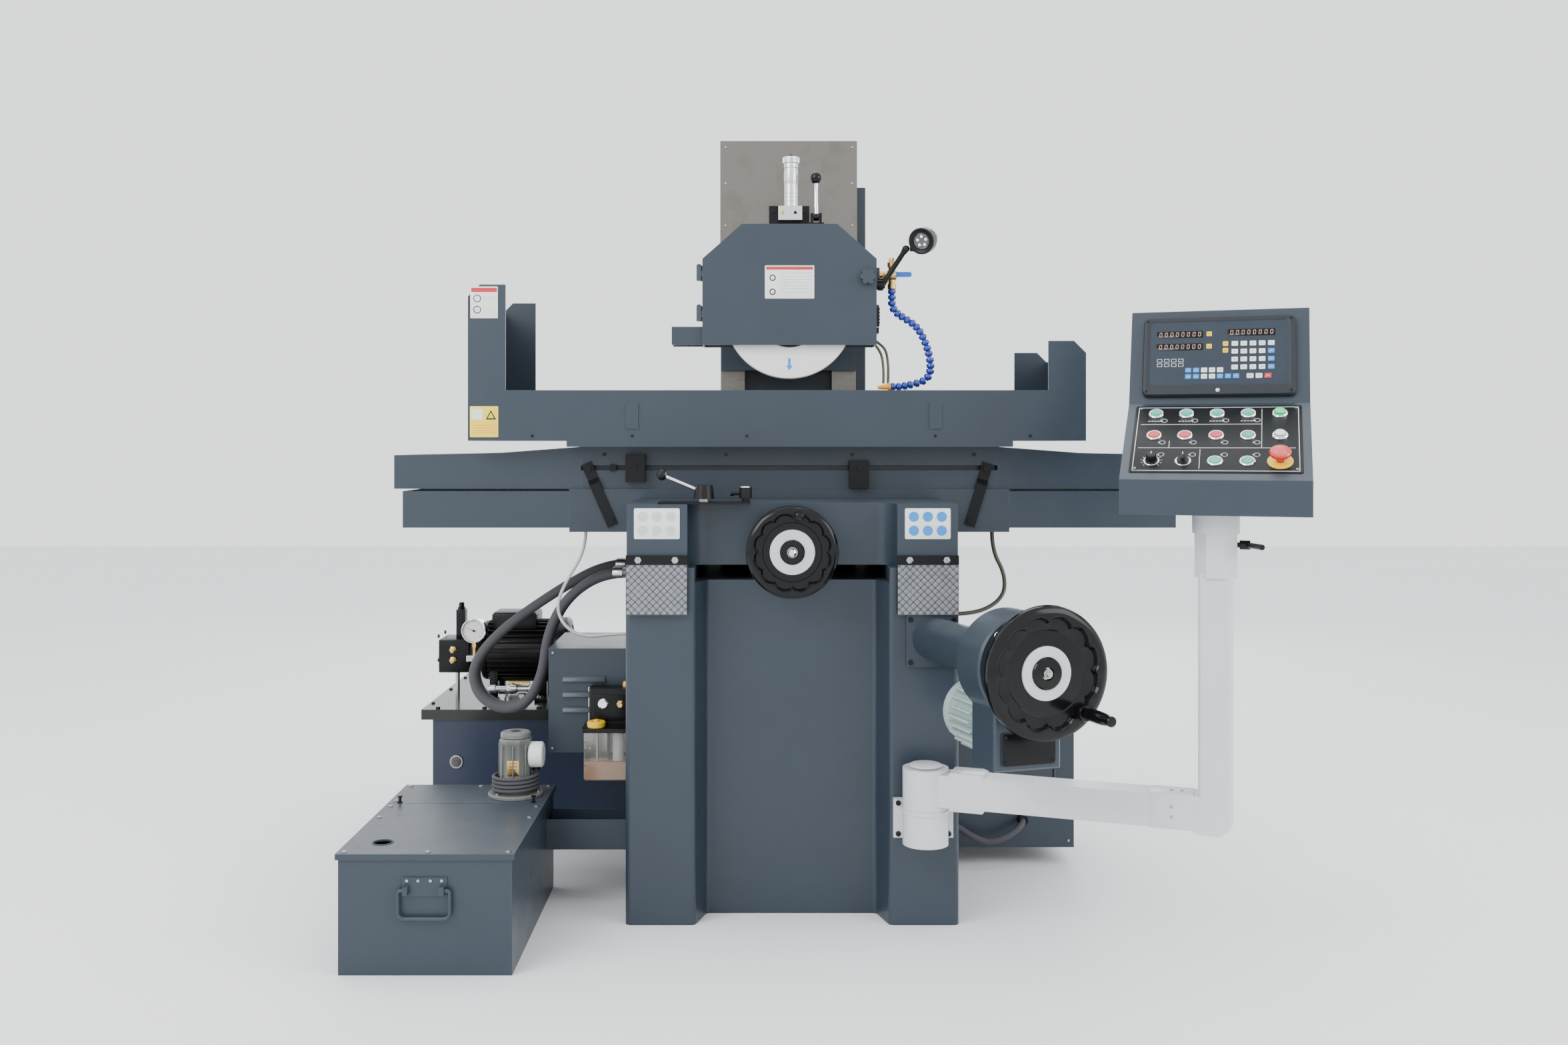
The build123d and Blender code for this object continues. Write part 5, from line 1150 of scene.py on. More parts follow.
class GRINDER_OT_head(bpy.types.Operator):
    """Make the wheel guard's hardware, the wheel's label, the dresser, the tap, the jointed hose and the lamp"""

    bl_idname = "grinder.head"
    bl_label = "Head fittings"

    def execute(self, context):
        door = Shape(facing((0, -266.3, 0)))
        door.prism(rounded(116, 78, 2, 4, 0, 1418), 0, 0.7, "label white", 0.2)
        door.slab(-55, 55, 1447, 1454, 0.6, 1.0, "label red", 0)
        for row in range(7):
            door.slab(-22, 54, 1438 - row * 7.5, 1440 - row * 7.5, 0.6, 0.85, "silver plastic", 0)
        for z in (1428, 1395):
            door.ring(5, 7.5, 0.6, 0.95, "panel black", at(-40, z), 24, 0.1)
        door.done("guard_plate", "guard_door")
        hinge = Shape()
        for z in (1350, 1445):
            hinge.turned(
                [(0, z + 12), (5.4, z + 12), (5.4, z + 13.4), (3.5, z + 15), (0, z + 15.4)], "black steel",
                at(-213, -264.3), 24,
            )
        hinge.done("hinge_caps", "head")
        mark = Shape(facing((0, -245, 1345)))
        mark.prism(
            [(-3, -135), (-3, -118), (-8, -118), (0, -106), (8, -118), (3, -118), (3, -135)], 0.05, 0.4,
            "key blue", 0, swing(180) @ at(0, 240),
        )
        mark.turned([(80, 0.05), (98, 0.05), (98, 0.5), (80, 0.5)], "label white", None, 72)
        for turn in range(0, 360, 60):
            mark.screw(0, 70, 8.1, 4.2, "black steel", swing(turn))
        mark.turned(
            [(0, 8), (19, 8), (19, 14), (17, 15.5), (8, 15.5), (7, 12), (0, 12)], "turned steel", None, 6,
        )
        mark.done("wheel_marks", "wheel")
        dial = Shape(at(4, -236))
        dial.post(6, 1635, 1653, "turned steel")
        dial.turned(
            [
                (0, 1653.3), (16.6, 1653.3), (17, 1655), (17, 1684), (15.6, 1686), (15.6, 1690), (17, 1692),
                (17, 1701), (18, 1702),
            ],
            "satin silver",
        )
        dial.turned(
            [(18, 1702), (19.3, 1702.6, 0.7), (19.3, 1715, 0.7), (17.8, 1717), (0, 1717.3)], "satin silver",
            None, 180, lobes=60,
        )
        dial.turned([(5, 1717), (5, 1721), (3.6, 1723.3), (0, 1723.3)], "black steel", None, 24)
        for step in range(40):
            long = 8 if step % 10 == 0 else 5 if step % 5 == 0 else 3.2
            dial.slab(-0.2, 0.2, 17.0, 17.15, 1655.5, 1655.5 + long, "panel black", 0, swing(step * 9))
        dial.done("dresser_dial_sleeve", "dresser_dial", ["dresser_dial"])
        lever = Shape(at(64, -226))
        lever.turned(
            [(4.1, -6), (9, -6), (9, 6), (4.1, 6), (4.1, -6)], "black steel",
            at(0, 0, 1577) @ swing(90, "Y"),
        )
        lever.turned(
            [(0, 1585), (5, 1585), (5, 1604), (4.4, 1608), (4.4, 1650), (5.2, 1657), (0, 1657)], "chrome",
        )
        lever.turned(
            [
                (0, 1656), (6, 1657), (11.4, 1661), (14, 1668), (13.6, 1675), (10.2, 1681.5), (5, 1684.6),
                (0, 1685),
            ],
            "gloss black",
        )
        lever.done("dresser_arm", "dresser_lever", ["dresser_lever"])
        dresser = Shape()
        for z in (1611, 1620, 1629):
            dresser.ring(15.8, 16.7, z, z + 2, "satin silver", at(4, -236))
        for x in (-38, 36):
            dresser.screw(x, 1590, 0, 4, "black steel", facing((0, -224, 0)))
        dresser.nut(-16, 1584, 0, 5, 3, "brass", facing((0, -250, 0)))
        dresser.screw(14, 1584, 0, 3.6, "black steel", facing((0, -250, 0)))
        dresser.done("dresser_hardware", "head")

        tap = Shape(at(246, -208))
        tap.turned(
            [
                (0, 1482), (5, 1482), (6.4, 1479), (6.4, 1473), (11, 1471), (11, 1462), (8.4, 1460),
                (8.4, 1453), (12.6, 1449), (14, 1441), (12.6, 1433), (8.4, 1429), (8.4, 1421), (10.6, 1420),
                (10.6, 1408), (7, 1406), (7, 1401), (0, 1401),
            ],
            "brass",
        )
        tap.turned([(9.6, 1460), (11, 1461.5), (11, 1469), (9.6, 1471)], "brass", None, 6)
        tap.turned(
            [(0, -34), (8, -34), (9.6, -32), (9.6, -20), (8, -18), (8, 0), (0, 0)], "brass",
            at(0, 0, 1441) @ swing(90, "Y"),
        )
        tap.slab(-40.5, -30, -11, 11, 1424, 1458, "slate", 1.2)
        tap.turned([(0, 0), (6, 0), (6, 12), (4, 13), (0, 13)], "brass", at(0, -12, 1441) @ swing(90, "X"))
        route = [(246, 1401), (252, 1357), (308, 1313), (336, 1245), (330, 1195), (276, 1176), (242, 1174)]
        line = smooth_line([Vector((x, -208, z)) for x, z in route], 16)
        reach = 0
        beads = [(line[0], line[1] - line[0])]
        for before, here in zip(line, line[1:]):
            reach += (here - before).length
            if reach >= 12.4:
                beads.append((here, here - before))
                reach = 0
        home = at(-246, 208, 0)
        for here, way in beads:
            bead = along(here, here + way)
            tap.turned(
                [
                    (0, -6.2), (6.2, -6.2), (8.8, -5.2), (9.8, -2.6), (9.8, 1.4), (8.8, 3.6), (6.4, 5.2),
                    (5.2, 6.6), (6.6, 8.4), (0, 8.9),
                ],
                "blue plastic", home @ bead, 28,
            )
        nozzle = along((243, -208, 1174), (209, -208, 1172))
        tap.turned(
            [(0, 0), (8.6, 0), (8.6, 5), (6.4, 8), (5.2, 22), (3.6, 31), (2.4, 31), (2.4, 20), (0, 20)],
            "orange plastic", home @ nozzle,
        )
        for side in (-1, 1):
            tap.slab(-1.4, 1.4, -3 + side * 9, 3 + side * 9, 1, 5, "orange plastic", 0.5, home @ nozzle)
        tap.done("coolant_tap_and_hose", "head", ["coolant_line"])
        turn = Shape(facing((246, -208, 1441)))
        turn.turned(
            [(0, 5), (4, 5), (4, 15.5), (8, 15.5), (9, 16.5), (9, 19.5), (8, 20.5), (0, 20.5)], "zinc",
        )
        turn.prism(rounded(50, 12, 5.5, 8, 21, 0), 12.6, 15.4, "tap blue", 0.7)
        turn.slab(30, 45, -5.2, 5.2, 10.6, 13, "tap blue", 0.8)
        turn.done("tap_lever", "valve_handle", ["valve_handle"])

        root = (221, -240, 1415)
        elbow = (273, -272, 1495)
        arm = Shape()
        arm.turned(
            [(0, 0), (13, 0), (13, 3), (11, 5), (11, 18), (9, 21), (0, 22)], "black plastic",
            facing((205.3, -240, 1415), NORTH, EAST), 24,
        )
        for step in range(6):
            arm.slab(
                -1.6, 1.6, 11, 14.5, 4, 17, "black plastic", 0.6,
                facing((205.3, -240, 1415), NORTH, EAST) @ swing(step * 60),
            )
        length = (Vector(elbow) - Vector(root)).length
        arm.turned(
            [
                (0, 0), (7, 0), (7, 12), (6, 14), (6, length - 12), (7.4, length - 9), (7.4, length),
                (0, length),
            ],
            "satin black", along(root, elbow), 24,
        )
        arm.turned(
            [(0, -9), (5, -7.6), (8.2, -3.6), (9, 0), (8.2, 3.6), (5, 7.6), (0, 9)], "black plastic",
            Matrix.Translation(elbow), 28,
        )
        arm.done("lamp_bracket_arm", "lamp_arm", ["lamp_arm"])
        head_frame = along((305, -300, 1509), Vector((305, -300, 1509)) + Vector((0.45, 0.85, 0.25)))
        lamp = Shape(head_frame)
        lamp.turned(
            [
                (27, 0.4), (29.5, 0), (31, 1.2), (31, 22), (29.4, 25), (24, 40), (17, 62), (15, 68),
                (12, 69), (12, 72), (10.2, 74), (10.2, 84), (0, 84),
            ],
            "black plastic", None, 48,
        )
        lamp.turned(
            [(27, 0.4), (25.5, 1.6), (20.6, 2.4), (19.4, 1.6), (18.4, 1.6), (18.2, 7.2), (0, 7.6)],
            "satin black", None, 48,
        )
        lamp.turned([(18.4, 1.9), (17.8, 2.5), (0, 3.2)], "glass", None, 48)
        for turn in range(5):
            lamp.turned(
                [(3.4, 4.2), (2.6, 4.9), (0, 5.2)], "lamp light", swing(turn * 72 + 18) @ at(10.6, 0), 20,
            )
        for step in range(20):
            lamp.prism(
                [(24, 0), (30.6, 0), (30.6, 2), (17, 40), (14, 40)], -0.9, 0.9, "black plastic", 0,
                swing(step * 18) @ at(0, 0, 24) @ swing(90, "X"),
            )
        stub = facing((282.3, -272, 1495), NORTH, EAST)
        lamp.turned([(0, 0), (6, 0), (6, 24), (0, 24)], "black plastic", head_frame.inverted() @ stub, 24)
        lamp.done("work_lamp", "lamp_head", ["lamp_head"])

        lines = Shape()
        lines.pipe(
            [(196, -180, 1292), (214, -182, 1282), (232, -190, 1262), (238, -196, 1226), (238, -196, 1182)],
            3.2, "olive cable",
        )
        lines.pipe(
            [(196, -190, 1284), (210, -192, 1272), (222, -200, 1248), (226, -204, 1214), (226, -204, 1182)],
            3.2, "olive cable",
        )
        lines.slab(205.2, 216, -214, -176, 1318, 1366, "satin black", 1)
        for z in (1326, 1334, 1342, 1350, 1358):
            lines.slab(216, 217.5, -212, -178, z, z + 3, "black steel", 0.3)
        cover = facing((0, 115.2, 0))
        lines.screws((-160, 172), (1500, 1610, 1720, 1815), 0, 3.4, "zinc", cover)
        lines.done("head_lines", "head")
        return {"FINISHED"}


class GRINDER_OT_power_unit(bpy.types.Operator):
    """Make the hydraulic motor, pump, gauge and valves on the hydraulic tank"""

    bl_idname = "grinder.power_unit"
    bl_label = "Hydraulic power unit"

    def execute(self, context):
        shaft = facing((-816, 233, 480), NORTH, EAST)
        unit = Shape(shaft)
        unit.turned(
            [
                (0, 0), (62, 0), (76, 3), (79, 8), (79, 16), (74, 18), (74, 188), (79, 190), (86, 194),
                (88, 200), (88, 228), (82, 234), (0, 235),
            ],
            "black plastic", None, 64,
        )
        for step in range(sizes().fins + 8):
            unit.slab(
                -1.4, 1.4, 72, 84, 20, 186, "black plastic", 0.5, swing(360 * step / (sizes().fins + 8)),
            )
        for ring in range(6):
            unit.ring(12 + ring * 11, 16 + ring * 11, 234, 236.4, "black steel")
        unit.turned([(0, -30), (48, -30), (50, -26), (50, -6), (56, 0), (0, 0)], "satin black")
        for turn in (45, 135, 225, 315):
            unit.nut(0, 66, -7, 6, 6, "zinc", swing(turn))
        unit.slab(-50, 50, 60, 103, 30, 150, "black plastic", 3)
        unit.slab(-46, 46, 102, 106, 34, 146, "satin black", 1.5)
        for side in (-1, 1):
            for start in (20, 150):
                unit.slab(side * 38, side * 92, -125, -116, start, start + 34, "satin black", 1)
                unit.slab(side * 40, side * 62, -117, -40, start + 6, start + 28, "satin black", 1)
                unit.nut(0, 0, 0, 6, 5, "zinc", at(side * 80, -116, start + 17) @ swing(-90, "X"))
        unit.slab(-52, 52, -54, 34, -112, -30, "satin black", 3)
        unit.screws((-40, 40), (-42, 22), 0, 5, "black steel", at(0, 0, -112) @ swing(180, "X"))
        unit.slab(-30, 2, 34, 112, -70, -46, "satin black", 2)
        upright = at(-14, 112, -58) @ swing(-90, "X")
        unit.turned(
            [(0, 0), (11, 0), (11, 5), (8, 6), (8, 14), (6.4, 18), (0, 18)], "black steel", upright, 6,
        )
        unit.turned([(6, 0), (6, 70), (0, 70)], "zinc", at(-18, -125, -68) @ swing(-90, "X"), 20)
        unit.nut(-14, 14, 0, 10, 7, "brass", at(0, 0, -112) @ swing(180, "X"))
        for y in (-20, 8):
            unit.turned(
                [(0, 0), (10, 0), (10, 8), (8, 9), (8, 15), (6, 16), (0, 16)], "brass",
                at(-52, y, -72) @ swing(-90, "Y"), 6,
            )
        unit.slab(-84, -38, -20, -4, -32, -4, "zinc", 1.5)
        unit.slab(20, 62, -118, -96, 60, 96, "zinc", 2)
        unit.done("hydraulic_motor_and_pump", "base", ["hydraulic_power_unit"])

        gauge = Shape(facing((-826, 138, 543)))
        gauge.turned(
            [(0, -26), (30, -26), (33, -23), (33, -3), (32, -0.5), (30, 0), (28.6, -1), (28.6, -4)],
            "chrome", None, 64,
        )
        gauge.turned([(28.7, -4), (0, -4)], "label white", None, 64)
        for step in range(41):
            long = 6 if step % 5 == 0 else 3
            gauge.slab(-0.3, 0.3, 26 - long, 26, -4.1, -3.8, "panel black", 0, swing(135 - step * 6.75))
        gauge.prism([(-1.2, -6), (1.2, -6), (0.4, 20), (-0.4, 20)], -3.4, -2.9, "label red", 0, swing(70))
        gauge.turned([(0, -3.9), (3, -3.9), (3, -2.2), (0, -2)], "panel black", None, 24)
        gauge.turned([(6, 0), (6, 44), (0, 44)], "brass", at(0, -71, -17) @ swing(-90, "X"), 20)
        gauge.turned([(0, 0), (9.5, 0), (9.5, 10), (0, 10)], "brass", at(0, -44, -17) @ swing(-90, "X"), 6)
        gauge.done("pressure_gauge", "base")

        valves = Shape()
        for x in (-740, -690):
            stand = at(x, 96)
            valves.turned(
                [(0, 355), (14, 355), (14, 361), (9, 362), (9, 376), (13, 377), (13, 386), (0, 387)],
                "satin silver", stand, 6,
            )
        valves.turned(
            [
                (0, -88), (7, -88), (11, -84), (11, -70), (8, -68), (8, -40), (12, -38), (14, -26),
                (12, -14), (8, -12), (8, 16), (11, 18), (11, 30), (0, 31),
            ],
            "satin silver", facing((-690, 96, 398), NORTH, EAST), 24,
        )
        valves.turned([(0, 398), (5, 398), (5, 416), (0, 417)], "zinc", at(-716, 96))
        valves.prism(rounded(58, 11, 5, 8, 18, 0), 414, 417, "yellow plastic", 0.7, at(-716, 96))
        valves.turned(
            [(0, 355), (34, 355), (36, 358), (36, 366), (30, 370), (12, 372), (10, 378), (0, 379)],
            "black plastic", at(-430, 130), 40,
        )
        valves.slab(-520, -396, 90, 210, 355, 400, "zinc", 2)
        for x in (-500, -460, -420):
            valves.turned(
                [(0, 400), (11, 400), (11, 408), (8, 410), (8, 440), (10, 441), (10, 452), (0, 453)],
                "satin silver", at(x, 120), 6,
            )
            valves.slab(x - 7, x + 7, 108, 124, 452, 468, "satin silver", 2)
        for x in (-900, -780, -640, -480):
            valves.nut(x, 52, 355, 6, 4, "black steel")
        for y in (120, 330, 520, 690):
            valves.nut(-928, y, 355, 5, 3.5, "black steel")
        valves.turned(
            [(0, -30), (16, -30), (16, -4), (20, 0), (0, 0)], "black steel",
            facing((-640, 43, 60)) @ at(0, 0, 30), 6,
        )
        valves.turned(
            [(0, -2), (13, -2), (13, 3), (11, 4), (0, 4)], "glass", facing((-850, 43, 220)) @ at(0, 0, 2),
            32,
        )
        valves.ring(13, 17, 0, 4, "zinc", facing((-850, 43, 220)))
        valves.done("tank_valves", "base")
        return {"FINISHED"}


class GRINDER_OT_oiler(bpy.types.Operator):
    """Make the way oiler with its clear reservoir, oil, black pump and yellow cap"""

    bl_idname = "grinder.oiler"
    bl_label = "Way oiler"

    def execute(self, context):
        oiler = Shape()
        middle_x = -419.5
        middle_y = -308
        outline = rounded(109, 92, 10, 6, middle_x, middle_y)
        small = rounded(103, 86, 8, 6, middle_x, middle_y)
        oiler.prism(rounded(101, 84, 7, 6, middle_x, middle_y), 268, 309, "way oil", 1.5)
        levels = ((outline, 377), (outline, 268), (small, 265.5), (small, 377))
        rings = [[oiler.mesh.verts.new(Vector((x, y, z))) for x, y in line] for line, z in levels]
        faces = [oiler.mesh.faces.new(rings[2][::-1])]
        for low, high in zip(rings[:2], rings[1:3]):
            for step in range(len(low)):
                after = (step + 1) % len(low)
                faces.append(oiler.mesh.faces.new((low[step], low[after], high[after], high[step])))
        oiler.paint(faces, "clear plastic")
        oiler.prism(rounded(115, 98, 8, 6, -420.5, -308), 376, 385, "black plastic", 1.5)
        oiler.prism(rounded(103, 54, 8, 6, -414.5, -287.5), 384, 470, "black plastic", 3)
        oiler.slab(-452, -378, -318, -312, 396, 456, "satin black", 2)
        oiler.turned(
            [(0, 0), (9, 0), (9, 9), (6, 11), (6, 22), (0, 22)], "brass", facing((-392, -315, 436)), 6,
        )
        oiler.turned([(0, 0), (12, 0), (12, 4), (9, 7), (0, 8)], "chrome", facing((-432, -318, 436)), 32)
        oiler.turned([(0, 470), (7, 470), (7, 476), (4, 483), (0, 483)], "brass", at(-386, -284), 6)
        oiler.turned(
            [(18, 385), (18.4, 386), (20.6, 387, 0.4), (21, 397, 0.4), (19, 399.4), (0, 399.4)],
            "yellow plastic", at(-446, -335), 120, 30,
        )
        oiler.turned([(0, 400), (6, 399), (6, 403), (0, 403.5)], "yellow plastic", at(-446, -335), 24)
        oiler.turned([(13, 300), (13, 376)], "silver plastic", at(-396, -326), 24)
        oiler.post(3, 275, 376, "zinc", at(-446, -300))
        oiler.post(4, 280, 376, "black steel", at(-420, -300))
        oiler.turned(
            [(0, 270), (15, 270), (15, 284), (12, 287), (0, 287)], "black plastic", at(-420, -300), 32,
        )
        oiler.slab(-474, -363, -260, -257.4, 316, 464, "zinc", 0.6)
        oiler.screws((-466, -371), (326, 454), 260, 3.4, "zinc", FRONT)
        for z in (300, 318, 336, 354):
            oiler.slab(-472, -466, -354.4, -354, z, z + 1, "panel black", 0)
        oiler.done("way_oiler", "base", ["oiler"])
        return {"FINISHED"}


class GRINDER_OT_coolant(bpy.types.Operator):
    """Make the coolant pump with its plate and terminal box, and the coolant tank's hardware"""

    bl_idname = "grinder.coolant"
    bl_label = "Coolant pump and tank fittings"

    def execute(self, context):
        pump = Shape(at(-626, -367))
        pump.turned(
            [
                (0, 238.2), (61, 238.2), (62, 239.4), (62, 244.6), (60.6, 246), (33, 246), (30, 250),
                (30, 264), (33, 268), (0, 268),
            ],
            "pump grey", None, 64,
        )
        pump.turned(
            [
                (0, 268), (36, 268), (38, 270), (38, 276), (36, 279), (36, 356), (38, 359), (38, 366),
                (35, 369), (0, 369),
            ],
            "pump grey", swing(22.5), 8,
        )
        pump.turned(
            [(0, 369), (30, 369), (34, 371), (34, 379), (31, 382.4), (24, 383), (0, 383)], "pump grey",
            None, 48,
        )
        pump.turned([(0, 382), (12, 382), (12, 383.3), (0, 383.3)], "black steel", None, 24)
        for turn in (20, 140, 260):
            pump.screw(0, 53, 246, 4, "zinc", swing(turn))
        for turn in range(8):
            pump.slab(-1.2, 1.2, 35, 39, 280, 356, "pump grey", 0.5, swing(turn * 45))
        pump.prism(rounded(27, 34, 1.5, 4, 0, 306), 35.4, 36.2, "brass", 0.2, FRONT)
        for row in range(4):
            pump.slab(-9, 9, 295 + row * 7, 296.2 + row * 7, 36.15, 36.35, "panel black", 0, FRONT)
        box = facing((30, 0, 330), NORTH, EAST)
        pump.turned(
            [
                (0, 0), (20, 0), (26, 2), (29, 5), (29, 24), (27.6, 26), (29, 27), (28.4, 31), (24, 34),
                (0, 34),
            ],
            "white plastic", box, 48,
        )
        for turn in (45, 225):
            pump.screw(0, 21, 33, 2.4, "zinc", box @ swing(turn))
        pump.turned(
            [(0, 295), (9, 295), (9, 300), (7, 301), (7, 308), (0, 308)], "black plastic", at(46, 0), 24,
        )
        pump.done("coolant_pump_motor", "base", ["coolant_pump"])

        lid = Shape()
        for x, y in (
            (-884, -816), (-884, -562), (-884, -470), (-884, -425), (-884, -290), (-562, -816),
            (-562, -562), (-562, -470), (-562, -290), (-720, -816), (-720, -290),
        ):
            lid.turned([(0, 238), (5.4, 238), (5.4, 239.4), (3.6, 240.6), (0, 241)], "zinc", at(x, y), 20)
        for x, y in ((-872, -436), (-574, -436)):
            lid.turned(
                [(0, 238), (6, 238), (6, 240), (3, 241), (3, 249), (5.4, 250), (5.4, 253), (0, 254)],
                "black steel", at(x, y), 24,
            )
        lid.turned(
            [(18, 237.2), (21.5, 237.2), (21.5, 239), (19, 239.4), (18, 238.4), (18, 237.2)], "rubber",
            at(-826, -749), 48,
        )
        plate = facing((-723.5, -829, 174))
        for x in (-34, -12, 12, 34):
            lid.turned([(0, 0), (3.4, 0), (3, 1.6), (0, 2)], "zinc", plate @ at(x, 12), 16)
        lid.done("tank_hardware", "base")
        return {"FINISHED"}


def laid_cord(name, points, radius, finish, node):
    """A cord along a smooth line near its route's points, in millimetres."""
    line = bpy.data.curves.new(name, "CURVE")
    line.dimensions = "3D"
    line.bevel_depth = radius * MM
    line.bevel_resolution = 5
    line.use_fill_caps = True
    run = line.splines.new("NURBS")
    run.points.add(len(points) - 1)
    for point, spot in zip(run.points, points):
        point.co = (spot[0] * MM, spot[1] * MM, spot[2] * MM, 1)
    run.order_u = 3
    run.use_endpoint_u = True
    run.resolution_u = 10
    line.materials.append(bpy.data.materials[finish])
    piece = bpy.data.objects.new(name, line)
    bpy.context.scene.collection.objects.link(piece)
    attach(piece, "base")
    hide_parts(node)


HOSE_SPINE = (
    (-396, -20, 734), (-456, -20, 734), (-568, -20, 676), (-720, -20, 572), (-794, -24, 482),
    (-781, -36, 413), (-723, -54, 375),
    (-652, -72, 386), (-607, -86, 462), (-593, -94, 572), (-546, -96, 660), (-456, -96, 720),
    (-396, -96, 720),
)


class GRINDER_OT_cords(bpy.types.Operator):
    """Lay the hydraulic hoses, the oil and signal lines, the conduit and the pump's coiled lead"""

    bl_idname = "grinder.cords"
    bl_label = "Hoses and cords"

    def execute(self, context):
        for side, name in ((-14, "front_hydraulic_hose"), (14, "rear_hydraulic_hose")):
            laid_cord(
                name, [(x, y + side, z) for x, y, z in HOSE_SPINE], 12.5, "rubber", "hydraulic_hoses",
            )
        laid_cord(
            "oil_line",
            [
                (-490, -180, 828), (-490, -180, 782), (-538, -180, 705), (-562, -180, 645),
                (-540, -180, 594), (-490, -180, 570), (-420, -180, 580), (-360, -180, 580),
            ],
            4, "silver plastic", "service_lines",
        )
        laid_cord(
            "signal_cable",
            [
                (490, -180, 828), (490, -180, 782), (521, -180, 724), (520, -180, 672), (478, -180, 638),
                (420, -180, 626), (360, -180, 626),
            ],
            5, "olive cable", "service_lines",
        )
        laid_cord(
            "cabinet_conduit",
            [
                (576, -107, 112), (576, -139, 112), (538, -153, 84), (488, -155, 66), (444, -153, 82),
                (404, -141, 110), (360, -141, 110),
            ],
            8, "rubber", "service_lines",
        )
        turns = []
        for step in range(4 * 16 + 1):
            turn = 2 * pi * step / 16
            turns.append((-626 + 50.9 * cos(turn), -367 + 50.9 * sin(turn), 250.3 + 8.8 * step / 16))
        laid_cord("pump_lead_coil", turns, 4, "rubber", "pump_cord_coil")
        ends = Shape()
        for y, z in ((-20, 734), (-96, 720)):
            for side in (-14, 14):
                collar = facing((-396, y + side, z), (0, 1, 0), (-1, 0, 0))
                ends.turned([(12.7, 12), (13.7, 12.6), (13.7, 34), (12.7, 36)], "satin silver", collar, 36)
                ends.turned([(12.6, 0), (14, 0.4), (14, 11.6), (12.6, 12)], "satin silver", collar, 6)
        ends.ring(8.2, 13, 0.2, 16, "black plastic", facing((576, -107, 112)))
        ends.ring(8.2, 13, 0.2, 12, "black plastic", facing((360, -141, 110), NORTH, EAST))
        ends.ring(5.2, 9, 0.2, 12, "black plastic", facing((360, -180, 626), NORTH, EAST))
        ends.ring(4.2, 8, 0.2, 12, "brass", facing((-360, -180, 580), (0, 1, 0), (-1, 0, 0)))
        ends.done("line_fittings", "base")
        return {"FINISHED"}


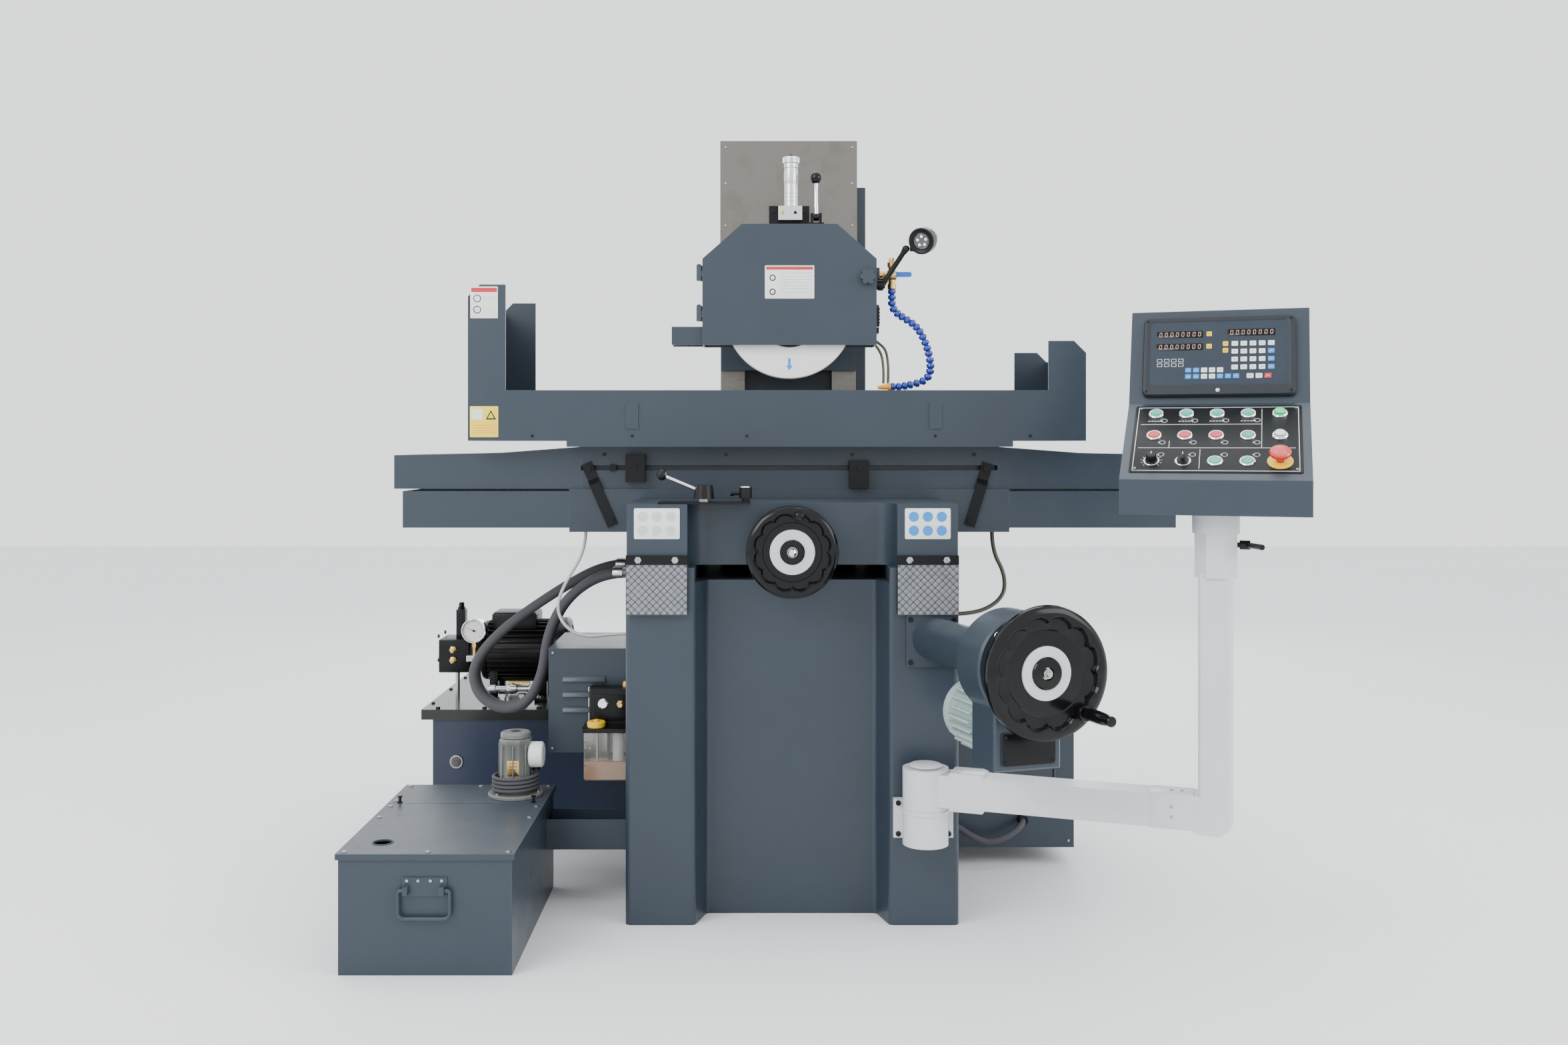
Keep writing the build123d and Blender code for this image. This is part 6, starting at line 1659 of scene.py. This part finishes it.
class GRINDER_OT_fittings(bpy.types.Operator):
    """Make the louvres, latches, plates, chuck poles and screws on the sheet metal and castings"""

    bl_idname = "grinder.fittings"
    bl_label = "Covers and screws"

    def execute(self, context):
        louvres = Shape()
        for step in range(3):
            top = 483 - 36 * step
            hood = at(-534, -257, top) @ swing(90, "Y") @ swing(90, "Z")
            louvres.prism(
                [(0, 8), (-3, 7), (-7, 2), (-9, -5), (-8, -6), (-1.5, 3), (0, 4)], 0, 100, "slate", 0.3,
                hood,
            )
        louvres.screws((-558, -372), (320, 545), 257, 3, "zinc", FRONT)
        louvres.done("louvre_hoods", "base")

        latch = Shape(facing((396, -121.3, 331)))
        latch.turned([(0, 0), (11, 0), (11, 5), (9.4, 7), (0, 7)], "chrome", None, 40)
        latch.slab(-6, 6, -1, 1, 6.8, 7.4, "black steel", 0)
        latch.prism(rounded(80, 46, 2, 4, 120, 130), 0.1, 0.8, "label yellow", 0.2)
        latch.done("door_latch", "cabinet_door")

        cabinet = Shape()
        cabinet.screws((372, 690), (60, 520), 107, 3.4, "zinc", FRONT)
        for z in (120, 300, 470):
            cabinet.screw(0, z, 0, 3.4, "zinc", at(704, 160, 0) @ swing(90, "Y") @ swing(90, "Z"))
        for row in range(5):
            cabinet.prism(
                [(0, 4), (5, 0), (6, -5), (4, -5), (0, 0)], -50, 50, "slate", 0.3,
                at(704, 40, 420 - row * 22) @ swing(90, "X"),
            )
        for x in (-30, 30):
            for z in (150, 250, 350, 450):
                cabinet.screw(x * 6, -z, 0, 4, "zinc", BED_BACK)
        cabinet.prism(rounded(380, 340, 8, 5, 0, -300), 0.1, 2, "slate", 0.6, BED_BACK)
        cabinet.prism(rounded(290, 760, 10, 5, 5, -1290), 0.1, 2.4, "slate", 0.8, COLUMN_BACK)
        for x in (-125, 5, 135):
            for z in (930, 1290, 1650):
                cabinet.screw(x, -z, 2.4, 4, "zinc", COLUMN_BACK)
        cabinet.prism(rounded(320, 320, 12, 5, 5.5, 341.5), 1780.1, 1783, "slate", 0.8)
        cabinet.screws((-130, 141), (206, 477), 1783, 5, "black steel")
        for x in (-330, 330):
            for y in (-500, 500):
                cabinet.nut(x, y, 4, 14, 9, "black steel")
        cabinet.done("cover_plates", "base")

        poles = Shape()
        for step in range(29):
            x = -290 + step * 20.7
            poles.slab(x, x + 1.6, -205, 33, 1110.55, 1110.75, "brass", 0)
        poles.turned(
            [(0, 0), (14, 0), (14, 7), (12.6, 8), (8, 8), (7, 2), (0, 2)], "zinc",
            facing((245, -213, 1070.6)), 40,
        )
        poles.screws((-285, 285), (1042, 1100), 213, 3.4, "black steel", FRONT)
        for x in (-440, -150, 150, 440):
            poles.screw(x, 1012, 227, 4, "black steel", FRONT)
        poles.done("chuck_poles", "table")

        plates = Shape(facing((0, -297, 0)))
        plates.prism(rounded(64, 74, 2, 4, -712, 1367), 0.1, 0.8, "label white", 0.2)
        plates.slab(-742, -682, 1391, 1401, 0.7, 1.1, "label red", 0)
        for z in (1376, 1350):
            plates.ring(7, 9, 0.7, 1.0, "panel black", at(-728, z), 32, 0.1)
            for row in range(3):
                plates.slab(-714, -686, z + 5 - row * 5, z + 6.2 - row * 5, 0.7, 0.95, "silver plastic", 0)
        plates.prism(rounded(66, 72, 2, 4, -712, 1089), 0.1, 0.8, "label yellow", 0.2)
        plates.slab(-742, -716, 1094, 1118, 0.7, 1.0, "label white", 0)
        plates.prism([(-708, 1094), (-684, 1094), (-696, 1116)], 0.7, 1.0, "panel black", 0)
        plates.prism([(-703.5, 1097), (-688.5, 1097), (-696, 1111)], 0.9, 1.2, "label yellow", 0)
        for row in range(4):
            plates.slab(-740, -684, 1062 + row * 6, 1063.6 + row * 6, 0.7, 0.95, "orange plastic", 0)
        for x in (-600, -367, -100, 339, 560):
            plates.screw(x, 1056, 0, 3, "black steel")
        plates.done("guard_plates", "table")

        arm = Shape()
        for along_arm in (90, 110, 498, 518):
            spot = FOOT + UP * 349 + ARM_ACROSS * along_arm
            arm.screw(spot.x, spot.y, spot.z, 3.4, "zinc")
        for z in (306, 326):
            spot = FOOT + ARM_ACROSS * 500 + ARM_OUT * 32.5
            arm.screw(0, 0, 0, 3, "zinc", facing(spot + UP * z, ARM_ACROSS, ARM_OUT))
        arm.turned([(48.2, 262), (50, 264), (50, 270), (48.2, 272)], "white enamel", at(FOOT.x, FOOT.y), 48)
        arm.turned(
            [(0, 357.5), (30, 357.5), (34, 360), (34, 363), (30, 365), (0, 365.5)], "white enamel",
            at(FOOT.x, FOOT.y), 48,
        )
        arm.slab(
            -36, 36, -33.6, 33.6, 276, 356, "white enamel", 3,
            Matrix.Translation(FOOT + ARM_ACROSS * 92) @ swing(-20),
        )
        arm.slab(
            -42, 42, -33.8, 33.8, 281, 351, "white enamel", 3,
            Matrix.Translation(FOOT + ARM_ACROSS * 500) @ swing(-20),
        )
        arm.done("arm_fittings", "console_arm")
        return {"FINISHED"}


MAKERS = (
    GRINDER_OT_finishes,
    GRINDER_OT_stage,
    GRINDER_OT_cords,
    GRINDER_OT_castings,
    GRINDER_OT_wipers,
    GRINDER_OT_cross_handwheel,
    GRINDER_OT_lift,
    GRINDER_OT_panel,
    GRINDER_OT_readout,
    GRINDER_OT_head,
    GRINDER_OT_power_unit,
    GRINDER_OT_oiler,
    GRINDER_OT_coolant,
    GRINDER_OT_fittings,
)


class GRINDER_PT_pieces(bpy.types.Panel):
    """Lists the makers of the grinder's pieces with the sizes and colours they use"""

    bl_idname = "GRINDER_PT_pieces"
    bl_label = "Surface grinder"
    bl_space_type = "VIEW_3D"
    bl_region_type = "UI"
    bl_category = "Grinder"

    def draw(self, context):
        for group in (colours(), sizes()):
            for name in group.bl_rna.properties.keys():
                if name not in ("rna_type", "name"):
                    self.layout.prop(group, name)
        for maker in MAKERS:
            self.layout.operator(maker.bl_idname)


CLASSES = (GrinderColours, GrinderSizes) + MAKERS + (GRINDER_PT_pieces,)


def register():
    for kind in CLASSES:
        bpy.utils.register_class(kind)
    bpy.types.Scene.grinder_colours = bpy.props.PointerProperty(type=GrinderColours)
    bpy.types.Scene.grinder_sizes = bpy.props.PointerProperty(type=GrinderSizes)


def unregister():
    del bpy.types.Scene.grinder_sizes
    del bpy.types.Scene.grinder_colours
    for kind in reversed(CLASSES):
        bpy.utils.unregister_class(kind)


def main():
    register()
    for maker in MAKERS:
        group, name = maker.bl_idname.split(".")
        getattr(getattr(bpy.ops, group), name)()


if __name__ == "__main__":
    main()
